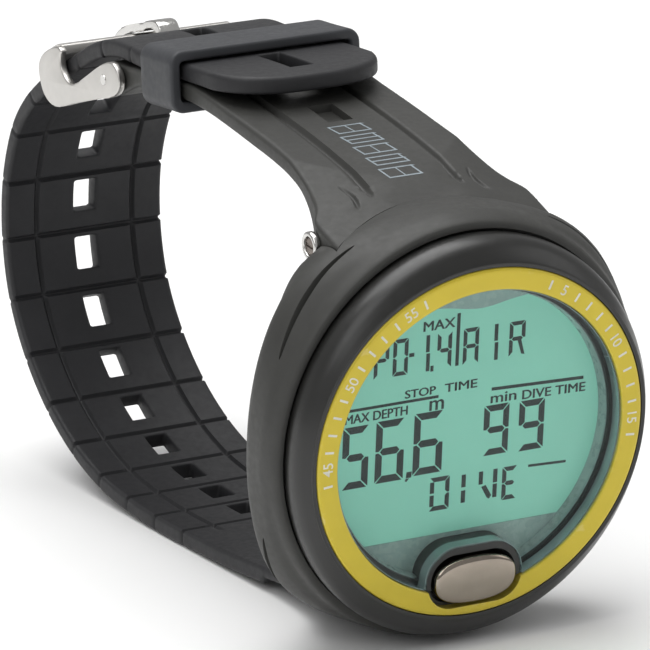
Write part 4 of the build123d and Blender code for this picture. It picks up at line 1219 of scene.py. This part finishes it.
def build_display():
    # mask plates at the top and bottom of the panel, and the cavity's wall
    s = Soup()
    R = 23.5

    def wave(x):
        return 21.0 - 1.15 * math.exp(-((x - 1.6) ** 2) / (2 * 3.7 ** 2))

    xs = np.linspace(-10.4, 10.4, 61)
    arc_top = [(R * math.sin(t), R * math.cos(t)) for t in np.linspace(math.asin(10.4 / R), -math.asin(10.4 / R), 61)]
    poly = [(x, wave(x)) for x in xs] + arc_top
    s.add(*flat_prism(poly, 4.86, 5.6))
    # lower plate with the button's notch
    z0 = -16.0
    xe = math.sqrt(R * R - z0 * z0)
    notch = [(x, z - 22.1) for x, z in stadium_outline(8.3, 5.4, 160)]
    upper_notch = sorted([p for p in notch if p[1] >= -22.1], key=lambda p: p[0])
    # walk: from the left end of the straight edge to the right, round the wall, along the notch and back
    a0 = math.atan2(z0, xe)
    ang_r = math.atan2(-math.sqrt(R * R - 8.3 ** 2), 8.3)
    right_arc = [(R * math.cos(a), R * math.sin(a)) for a in np.linspace(a0, ang_r, 40)]
    left_arc = [(-x, z) for x, z in reversed(right_arc)]
    notch_walk = [(8.3, -22.1)] + [p for p in sorted(upper_notch, key=lambda p: -math.atan2(p[1] + 22.1, p[0]) if True else 0)]
    notch_walk = sorted(set(upper_notch), key=lambda p: math.atan2(p[1] + 22.1, p[0]))
    poly = [(-xe, z0), (xe, z0)] + right_arc[1:] + notch_walk + left_arc[:-1]
    s.add(*flat_prism(poly, 4.86, 5.6))
    make("display_mask_plates", s.v, s.f, ROOT, M["mask"], ["display_frame"], angle=30)
    # cavity wall, a shallow cone that catches light
    n = 240
    loops = []
    for r, d in ((23.52, 2.95), (23.42, 2.95), (23.28, 3.4), (23.22, 4.95), (23.24, 5.9), (23.52, 5.9)):
        loops.append([(r * math.cos(2 * math.pi * k / n), d, r * math.sin(2 * math.pi * k / n)) for k in range(n)])
    # the wall is cut back behind the button, which moves in
    loops = [[(x, max(d, 3.62 + 0.01 * i) if abs(x) < 8.8 and z < 0 else d, z) for x, d, z in loop] for i, loop in enumerate(loops)]
    v, f = loops_mesh(loops, closed=True)
    make("display_wall", v, f, ROOT, M["bezel_wall"], angle=30)


def stroke_poly(a, b, w):
    (x0, z0), (x1, z1) = a, b
    L = math.hypot(x1 - x0, z1 - z0)
    nx, nz = -(z1 - z0) / L * w / 2, (x1 - x0) / L * w / 2
    return [(x0 + nx, z0 + nz), (x0 - nx, z0 - nz), (x1 - nx, z1 - nz), (x1 + nx, z1 + nz)]


def seg_polys(name, x, z, w, h, t, g=0.13):
    """Mitred cells of a 7- or 14-part figure with its lower left corner at x, z."""
    m = h / 2
    q = {
        "a": [(g + 0.05, h), (w - g - 0.05, h), (w - t - g * 0.6, h - t), (t + g * 0.6, h - t)],
        "d": [(g + 0.05, 0), (t + g * 0.6, t), (w - t - g * 0.6, t), (w - g - 0.05, 0)],
        "f": [(0, h - g), (t, h - t - g), (t, m + t * 0.5 + g * 0.8), (t * 0.45, m + g * 0.7), (0, m + g * 1.2)],
        "e": [(0, g), (0, m - g * 1.2), (t * 0.45, m - g * 0.7), (t, m - t * 0.5 - g * 0.8), (t, t + g)],
        "b": [(w, h - g), (w, m + g * 1.2), (w - t * 0.45, m + g * 0.7), (w - t, m + t * 0.5 + g * 0.8), (w - t, h - t - g)],
        "c": [(w, g), (w - t, t + g), (w - t, m - t * 0.5 - g * 0.8), (w - t * 0.45, m - g * 0.7), (w, m - g * 1.2)],
        "g": [(t * 0.62 + g * 0.4, m), (t + g * 0.8, m + t * 0.5), (w - t - g * 0.8, m + t * 0.5), (w - t * 0.62 - g * 0.4, m), (w - t - g * 0.8, m - t * 0.5), (t + g * 0.8, m - t * 0.5)],
        "i": [(w / 2 - t / 2, h), (w / 2 + t / 2, h), (w / 2 + t / 2, m + g * 1.6), (w / 2, m + g * 0.8), (w / 2 - t / 2, m + g * 1.6)],
        "l": [(w / 2 - t / 2, 0), (w / 2 - t / 2, m - g * 1.6), (w / 2, m - g * 0.8), (w / 2 + t / 2, m - g * 1.6), (w / 2 + t / 2, 0)],
        "m": [(w / 2 + g, m - t * 0.5), (w - t * 0.9, t * 0.4), (w + 0.02, t * 0.1), (w - t * 0.2, t * 0.9), (w / 2 + t + g, m - t * 0.5)],
        "k": [(t * 0.2, m - t * 0.4), (t * 1.1, m - t * 0.4), (w - t * 0.95, t * 0.2), (w - t * 1.1, -0.02), (w - t * 1.7, t * 0.05)],
    }
    return [[(x + px, z + pz) for px, pz in q[c]] for c in name]


def build_segments():
    s = Soup()
    D0, D1 = LCD_D - 0.055, LCD_D - 0.005

    def put(poly):
        s.add(*flat_prism(poly, D0, D1))

    def rect(x0, x1, z0, z1):
        put([(x0, z0), (x1, z0), (x1, z1), (x0, z1)])

    seven = {"0": "abcdef", "5": "acdfg", "6": "acdefg", "9": "abcdfg", "4": "fgbc", "1": "il", "A": "abcefg", "P": "abefg", "R": "abefgm", "D": "abcdef", "I": "il", "E": "adefg"}
    for ch, x, z, w, h, t in (("5", -21.1, -6.1, 4.45, 10.05, 1.12), ("6", -15.45, -5.95, 4.85, 10.05, 1.12), ("6", -8.95, -5.75, 5.0, 10.05, 1.12),
                              ("9", 3.1, -4.5, 4.35, 8.15, 1.0), ("9", 9.25, -4.75, 4.4, 8.2, 1.0)):
        for p in seg_polys(seven[ch], x, z, w, h, t, 0.15):
            put(p)
    # decimal comma
    put([(-10.05, -5.9), (-9.15, -5.9), (-9.05, -4.95), (-9.95, -4.95)])
    put([(-10.05, -6.0), (-9.5, -6.0), (-9.95, -6.55), (-10.2, -6.35)])
    # top row
    for ch, x, z, w, h, t in (("P", -16.3, 11.0, 2.5, 5.85, 0.6), ("0", -13.1, 11.05, 2.55, 5.85, 0.62), ("4", -5.55, 11.05, 2.45, 5.8, 0.62),
                              ("A", -1.1, 11.0, 2.65, 5.85, 0.62), ("R", 6.85, 11.1, 2.75, 5.6, 0.62)):
        for p in seg_polys(seven[ch], x, z, w, h, t, 0.1):
            put(p)
    rect(-10.35, -9.5, 13.75, 14.35)
    for x in (-7.2, 4.55):
        rect(x - 0.3, x + 0.3, 14.1, 16.8)
        rect(x - 0.2, x + 0.4, 11.0, 13.85)
    rect(-6.6, -6.1, 10.85, 11.75)
    rect(-2.35, -1.8, 11.1, 19.55)
    # word row under the big figures
    for p in seg_polys("abcd", -5.9, -12.1, 3.5, 5.45, 0.72, 0.1):
        put(p)
    rect(-5.75, -5.05, -9.2, -7.4)
    rect(-5.75, -5.05, -11.35, -9.55)
    rect(-0.3, 0.42, -9.05, -7.0)
    rect(-0.3, 0.42, -11.6, -9.6)
    rect(2.7, 3.4, -9.1, -7.0)
    put([(3.2, -9.55), (3.95, -9.35), (5.0, -11.15), (4.6, -11.7), (4.2, -11.4)])
    rect(5.2, 5.92, -9.15, -6.95)
    rect(5.2, 5.92, -11.6, -9.4)
    for p in seg_polys("adefg", 6.8, -12.35, 2.6, 5.4, 0.7, 0.1):
        put(p)
    # bars
    rect(-20.4, -5.0, 6.38, 6.82)
    put([(4.2, 6.05), (20.25, 5.45), (20.25, 5.95), (4.2, 6.55)])
    put([(11.3, -7.62), (17.9, -7.92), (17.9, -7.52), (11.3, -7.22)])

    def label(body, x0, x1, z0, z1, lean=0.0):
        v, f = text_polys(body, 2.0, 0.02)
        lo, hi = v.min(0), v.max(0)
        sx = (x1 - x0) / (hi[0] - lo[0])
        sz = (z1 - z0) / (hi[1] - lo[1])
        out = [(x0 + (p[0] - lo[0]) * sx, LCD_D - 0.03 - p[2], z0 + (p[1] - lo[1]) * sz + (p[0] - lo[0]) * sx * lean) for p in v]
        s.add(out, f)
        s.add([(p[0] + 0.10, p[1] - 0.004, p[2] + 0.03) for p in out], f)

    label("MAX", -8.1, -2.75, 17.45, 19.0)
    label("STOP", -10.8, -5.6, 7.1, 8.4)
    label("TIME", -4.0, 1.55, 7.05, 8.4)
    label("MAX DEPTH", -20.9, -10.3, 4.5, 5.95)
    label("m", -6.5, -4.1, 4.45, 6.05)
    label("min", 4.1, 8.5, 4.0, 5.55, -0.02)
    label("DIVE TIME", 9.6, 20.6, 3.75, 5.2, -0.03)
    make("lcd_figures", s.v, s.f, ROOT, M["ink"], ["lcd_segments"], fix=False, angle=20)


build_display()
build_segments()


# ------------------------------------------------------------------ crystal
def build_crystal():
    n = 300
    prof = [(24.4, 2.55), (24.4, 0.62), (24.36, 0.48), (24.27, 0.38), (24.14, 0.35)]
    R = 24.14
    notch = (8.3, 5.4, -22.1)

    def blocked(x, z):
        hx, hz, zc = notch
        dx = max(abs(x) - (hx - hz), 0)
        return math.hypot(dx, z - zc) < hz

    # outline: the circle, broken by the notch
    hx, hz, zc = notch

    def outline(r, grow=0.0):
        st = [(x, z + zc) for x, z in stadium_outline(hx + grow, hz + grow, 200)]
        up = [p for p in st if math.hypot(*p) < r - 0.01]
        circ = [(r * math.cos(t), r * math.sin(t)) for t in np.linspace(-math.pi / 2, 1.5 * math.pi, n, endpoint=False)]
        circ = [p for p in circ if not (math.hypot(max(abs(p[0]) - (hx - hz), 0), p[1] - zc) < hz + grow + 0.01)]
        right = [p for p in circ if True]
        # circ runs from just right of the bottom, anticlockwise to just left of it
        up = sorted(up, key=lambda p: p[0])
        return circ + up

    o0 = outline(24.4)
    v, f = flat_prism(o0, 0.35, 2.55)
    ob = make("crystal_lens", v, f, ROOT, M["crystal"], ["crystal"], angle=30)
    bev = ob.modifiers.new("edge", "BEVEL")
    bev.width = 0.00022
    bev.segments = 3
    bev.limit_method = "ANGLE"
    bev.angle_limit = math.radians(50)
    # the lens's side, drawn inside the glass as an opaque grey-green band with a glossy coat: a painted reflection of
    # the glass edge
    band = [p for p in o0]
    m = len(band)
    c = np.array([0.0, 0.0])
    inner_ = []
    for k in range(m):
        p = np.array(band[k])
        a = np.array(band[(k - 1) % m])
        b = np.array(band[(k + 1) % m])
        t = b - a
        t /= max(np.linalg.norm(t), 1e-9)
        nrm = np.array([-t[1], t[0]])
        inner_.append(tuple(p + nrm * 0.16))
    outer_ = []
    for k in range(m):
        p = np.array(band[k])
        a = np.array(band[(k - 1) % m])
        b = np.array(band[(k + 1) % m])
        t = b - a
        t /= max(np.linalg.norm(t), 1e-9)
        nrm = np.array([-t[1], t[0]])
        outer_.append(tuple(p + nrm * 0.03))
    loops = [[(x, 0.62, z) for x, z in outer_], [(x, 0.62, z) for x, z in inner_], [(x, 2.5, z) for x, z in inner_], [(x, 2.5, z) for x, z in outer_]]
    v, f = loops_mesh(loops, closed=True)
    make("crystal_side_painted_reflection", v, f, ROOT, M["crystal_edge_painted_reflection"], angle=30)


build_crystal()


# ------------------------------------------------------------------ button
def build_button():
    zc = -22.1
    rows = [(2.6, 6.9, 3.68), (2.55, 7.0, 3.78), (0.6, 7.0, 3.78), (0.1, 6.99, 3.77), (-0.15, 6.93, 3.71), (-0.36, 6.78, 3.56), (-0.52, 6.52, 3.30), (-0.62, 6.15, 2.93), (-0.69, 5.6, 2.42),
            (-0.75, 4.8, 1.8), (-0.80, 3.9, 1.15), (-0.83, 3.1, 0.6), (-0.85, 2.4, 0.15)]
    loops = []
    for d, hx, hz in rows:
        s = max(hx - hz, 0.0)
        ring = []
        m = 64
        for k in range(m):
            t = 2 * math.pi * k / m
            # superellipse-like oval that keeps the stadium's proportions
            c, si = math.cos(t), math.sin(t)
            e = 0.80
            ring.append((hx * math.copysign(abs(c) ** e, c), d, zc + hz * math.copysign(abs(si) ** e, si)))
        loops.append(ring)
    v, f = loops_mesh(loops, closed=False, caps=True)
    make("button_cap_dome", v, f, "button", M["metal"], ["button_cap"], angle=50)


build_button()


def build_spring():
    """The button's return spring."""
    n, m, r0, wire = 160, 12, 1.85, 0.2
    loops = []
    for i in range(n + 1):
        u = i / n
        a = 2 * math.pi * 3.2 * u
        c = np.array([r0 * math.cos(a), 2.98 + 2.4 * u, -22.1 + r0 * math.sin(a)])
        out = np.array([math.cos(a), 0.0, math.sin(a)])
        loops.append([tuple(c + wire * (math.cos(b) * out + math.sin(b) * np.array([0.0, 1.0, 0.0]))) for b in (2 * math.pi * k / m for k in range(m))])
    v, f = loops_mesh(loops, closed=False, caps=True)
    ob = make("button_return_spring", v, f, ROOT, M["steel_bright"], ["button_spring"], angle=60)
    anchor = world(np.array([0.0, 5.58, -22.1]))
    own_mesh(ob)


build_spring()


# ------------------------------------------------------------------ lug screws
def build_screws():
    for name, s in (("upper", 1), ("lower", -1)):
        soup = Soup()
        inner_s = Soup()
        for e in (-1, 1):
            n = 72
            prof = [(13.2, 0.7), (19.02, 0.7), (19.04, 2.1), (19.1, 2.22), (19.25, 2.27), (19.75, 2.27), (19.95, 2.2), (20.06, 2.05), (20.1, 1.86), (20.08, 1.66), (19.98, 1.52), (19.75, 1.46), (19.42, 1.44), (19.40, 0.0001)]
            loops = []
            for x, r in [(q[0] - 0.4, q[1]) for q in prof]:
                loops.append([(e * x, PIN_Y + r * math.cos(2 * math.pi * k / n), s * PIN_Z + r * math.sin(2 * math.pi * k / n)) for k in range(n)])
            v, f = loops_mesh(loops, closed=False, caps=True)
            soup.add(v, f)
            # the recessed centre of each head, drawn in dark steel: painted shade in the recess
            prof = [(19.36, 1.40), (19.62, 1.38), (19.72, 1.28), (19.76, 1.1), (19.77, 0.4), (19.77, 0.01)]
            loops = []
            for x, r in [(q[0] - 0.4, q[1]) for q in prof]:
                loops.append([(e * x, PIN_Y + r * math.cos(2 * math.pi * k / n), s * PIN_Z + r * math.sin(2 * math.pi * k / n)) for k in range(n)])
            v, f = loops_mesh(loops, closed=False, caps=True)
            inner_s.add(v, f)
        make(name + "_lug_screw_heads", soup.v, soup.f, ROOT, M["steel_bright"], [name + "_lug_screws"], angle=40)
        core = make(name + "_lug_screw_cores", inner_s.v, inner_s.f, ROOT, M["steel_painted_shade"], angle=40)
        cutters = []
        for e in (-1, 1):
            x0, x1 = sorted((e * 19.15, e * 21.0))
            z = s * PIN_Z
            b = [(x0, PIN_Y - 3, z - 0.28), (x1, PIN_Y - 3, z - 0.28), (x1, PIN_Y + 3, z - 0.28), (x0, PIN_Y + 3, z - 0.28),
                 (x0, PIN_Y - 3, z + 0.28), (x1, PIN_Y - 3, z + 0.28), (x1, PIN_Y + 3, z + 0.28), (x0, PIN_Y + 3, z + 0.28)]
            cutters.append(tool("slot_cut", b, [(0, 1, 2, 3), (7, 6, 5, 4), (0, 4, 5, 1), (1, 5, 6, 2), (2, 6, 7, 3), (3, 7, 4, 0)]))
        cut(core, cutters)
        core.data.shade_smooth()
        core.data.set_sharp_from_angle(angle=math.radians(35))


build_screws()


# ------------------------------------------------------------------ buckle
def build_buckle():
    hook = [(114.4, 28.75), (117.4, 27.45), (120.4, 25.4), (121.45, 23.4), (121.0, 21.4), (119.6, 19.4), (117.6, 18.35), (115.0, 18.25),
            (112.4, 19.1), (105.5, 22.1), (99.0, 24.75), (95.0, 26.3), (92.7, 27.8), (91.9, 29.5), (92.6, 31.2), (94.4, 32.2), (96.3, 31.9),
            (99.5, 30.1), (103.6, 27.3), (107.2, 24.9), (109.4, 24.0), (111.6, 24.4), (113.2, 25.8), (113.5, 27.4), (113.2, 28.3)]
    outline = spline(hook, 5, closed=True)
    s = Soup()
    for e in (-1, 1):
        x0, x1 = sorted((e * 14.9, e * 16.1))
        s.add(*plate(outline, x0, x1, 0.28, 4))
    bar_out = spline([(113.95, 28.4), (114.25, 28.9), (115.2, 28.93), (117.6, 27.65), (120.35, 25.45), (121.3, 23.9)], 8)
    bar_in = spline([(120.15, 23.2), (119.2, 24.45), (116.8, 26.15), (113.7, 27.55)], 8)
    s.add(*plate(bar_out + bar_in, -15.4, 15.4, 0.0))
    ob = make("buckle_frame_bent", s.v, s.f, "buckle", M["steel"], ["buckle_frame"], angle=40)
    bev = ob.modifiers.new("edge", "BEVEL")
    bev.width = 0.00018
    bev.segments = 2
    bev.limit_method = "ANGLE"
    bev.angle_limit = math.radians(55)
    # pin with its riveted ends
    n = 64
    prof = [(-16.28, 0.0001), (-16.28, 0.55), (-16.22, 0.82), (-16.10, 0.9), (-14.9, 0.9), (-14.88, 1.2), (14.88, 1.2), (14.9, 0.9), (16.10, 0.9), (16.22, 0.82), (16.28, 0.55), (16.28, 0.0001)]
    prof = [(max(-16.22, min(16.22, x)), r) for x, r in prof]
    loops = [[(x, 97.5 + r * math.cos(2 * math.pi * k / n), 28.5 + r * math.sin(2 * math.pi * k / n)) for k in range(n)] for x, r in prof]
    v, f = loops_mesh(loops, closed=False, caps=True)
    make("buckle_pin_riveted", v, f, "buckle", M["steel_bright"], ["buckle_pin"], angle=35)


def build_tongue():
    top = [(98.6, 30.2), (101.0, 29.5), (103.2, 29.3), (104.8, 30.3), (105.7, 32.0), (107.2, 33.3), (109.6, 33.0), (112.6, 31.6), (116.2, 30.3), (119.4, 28.8), (121.9, 26.9), (123.6, 24.6)]
    low = [(122.5, 23.9), (121.2, 25.9), (119.0, 27.5), (116.3, 28.85), (113.4, 29.8), (110.4, 31.2), (108.6, 31.6), (107.4, 31.1), (106.5, 29.3), (104.9, 27.6), (102.0, 26.6), (99.0, 26.6)]
    tp, lw = spline(top, 6), spline(low, 6)
    tip = [(123.5, 24.0), (123.0, 23.7)]
    s = Soup()
    s.add(*plate(tp + tip + lw, -1.85, 1.85, 0.32, 4))
    n = 64
    loops = []
    for x, r in ((-1.85, 1.25), (-1.85, 2.1), (-1.7, 2.3), (-1.5, 2.35), (1.5, 2.35), (1.7, 2.3), (1.85, 2.1), (1.85, 1.25)):
        loops.append([(x, 97.5 + r * math.cos(2 * math.pi * k / n), 28.5 + r * math.sin(2 * math.pi * k / n)) for k in range(n)])
    v, f = loops_mesh(loops, closed=True)
    s.add(v, f)
    make("buckle_tongue_bent", s.v, s.f, "tongue", M["steel_bright"], ["buckle_tongue"], angle=40)


build_buckle()
build_tongue()


# ------------------------------------------------------------------ keeper
def rrect(hw, hh, r, per=14):
    out = []
    for cx, cz, a0 in ((hw - r, hh - r, 0), (-(hw - r), hh - r, 90), (-(hw - r), -(hh - r), 180), (hw - r, -(hh - r), 270)):
        for k in range(per + 1):
            a = math.radians(a0 + 90 * k / per)
            out.append((cx + r * math.cos(a), cz + r * math.sin(a)))
    return out


def build_keeper():
    ang = math.atan(-0.17)
    ca, sa = math.cos(ang), math.sin(ang)
    hw, hh, wall, L = 15.15, 3.25, 1.75, 11.0
    loops = []

    def ring(l, pts):
        out = []
        for x, h in pts:
            out.append((x, 77.5 + l * ca - h * sa, 35.15 + l * sa + h * ca))
        return out

    r0 = 0.55
    outer_rows = [(-L / 2, r0), (-L / 2 + 0.02, r0 * 0.72), (-L / 2 + 0.12, r0 * 0.34), (-L / 2 + 0.3, r0 * 0.1), (-L / 2 + 0.55, 0.0), (-L / 2 + 1.6, 0.0), (-2.0, 0.03), (2.0, 0.03), (L / 2 - 1.6, 0.0),
                  (L / 2 - 0.55, 0.0), (L / 2 - 0.3, r0 * 0.1), (L / 2 - 0.12, r0 * 0.34), (L / 2 - 0.02, r0 * 0.72), (L / 2, r0)]
    for l, e in outer_rows:
        loops.append(ring(l, rrect(hw + wall - e, hh + wall - e, 2.3 - e)))
    for l, e in reversed(outer_rows):
        e2 = min(e, r0) * 0.8
        loops.append(ring(l, rrect(hw + e2, hh + e2, 0.7 + e2)))
    v, f = loops_mesh(loops, closed=True)
    make("keeper_loop_moulded", v, f, "keeper", M["keeper"], ["keeper_loop"], angle=45)


build_keeper()


# ------------------------------------------------------------------ finer edges on the carried-over CAD pieces
for n, w in (("back_plate", 0.16), ("battery_cover", 0.14), ("back_screws", 0.06), ("sensor_port", 0.06), ("case_body", 0.10)):
    m = NODES[n].modifiers.new("edge", "BEVEL")
    m.width = w / 1000.0
    m.segments = 2
    m.limit_method = "ANGLE"
    m.angle_limit = math.radians(40)
    m.harden_normals = False

# ------------------------------------------------------------------ floor, light and camera
def floor():
    me = bpy.data.meshes.new("floor")
    n = 96
    R = 12.0
    rings = [0.0001, 0.2, 0.6, 1.5, 4.0, R]
    verts, faces = [], []
    for r in rings:
        verts += [(r * math.cos(2 * math.pi * k / n), r * math.sin(2 * math.pi * k / n), -0.00005) for k in range(n)]
    for i in range(len(rings) - 1):
        for k in range(n):
            faces.append((i * n + k, i * n + (k + 1) % n, (i + 1) * n + (k + 1) % n, (i + 1) * n + k))
    me.from_pydata(verts, [], faces)
    ob = bpy.data.objects.new("floor", me)
    scene.collection.objects.link(ob)
    mat = material("floor_pale", (0.92, 0.92, 0.915), 0.75, spec=0.2, mottle=0.01, mottle_scale=8, rough_var=0.03, rough_scale=30)
    me.materials.append(mat)


floor()

world_ = bpy.data.worlds.new("studio")
world_.use_nodes = True
scene.world = world_
bg = world_.node_tree.nodes["Background"]
bg.inputs[0].default_value = (1.0, 1.0, 1.0, 1)
bg.inputs[1].default_value = 0.40


def area(name, loc, target, size, energy, color=(1, 1, 1), size_y=None):
    li = bpy.data.lights.new(name, "AREA")
    li.energy = energy
    li.color = color
    li.shape = "RECTANGLE" if size_y else "SQUARE"
    li.size = size
    if size_y:
        li.size_y = size_y
    ob = bpy.data.objects.new(name, li)
    ob.location = loc
    ob.rotation_euler = (Vector(target) - Vector(loc)).to_track_quat("-Z", "Y").to_euler()
    scene.collection.objects.link(ob)
    return ob


area("top", (-0.05, 0.25, 1.25), (0, 0, 0.04), 1.2, 16.5)
area("key", (-0.9, -0.45, 0.9), (0, 0, 0.04), 0.8, 3.5)
area("right", (1.0, -0.5, 0.6), (0, -0.03, 0.04), 0.6, 1.0)

# the camera, in the display's frame
CAM_R = [[0.8815, -0.4709, 0.0351], [-0.1432, -0.3374, -0.9304], [0.45, 0.8151, -0.3649]]
CAM_T = (23.54445616, 17.80716019, 900.55845923)
Mr = np.array(CAM_R)
u_, s_, vt = np.linalg.svd(Mr)
Mr = u_ @ vt
pos = -Mr.T @ np.array(CAM_T)
right, up, back = turn(Mr[0]), turn(-Mr[1]), turn(-Mr[2])
cam_data = bpy.data.cameras.new("camera")
cam = bpy.data.objects.new("camera", cam_data)
scene.collection.objects.link(cam)
p = world(pos)
cam.matrix_world = Matrix(((right.x, up.x, back.x, p[0]), (right.y, up.y, back.y, p[1]), (right.z, up.z, back.z, p[2]), (0, 0, 0, 1)))
cam_data.sensor_width = 36.0
cam_data.lens = 6000.0 / 650.0 * 36.0
cam_data.clip_start = 0.05
cam_data.clip_end = 60.0
scene.camera = cam

scene.view_settings.view_transform = "Standard"
scene.view_settings.look = "None"
scene.view_settings.exposure = 0.0
scene.view_settings.gamma = 1.0

bpy.context.view_layer.update()
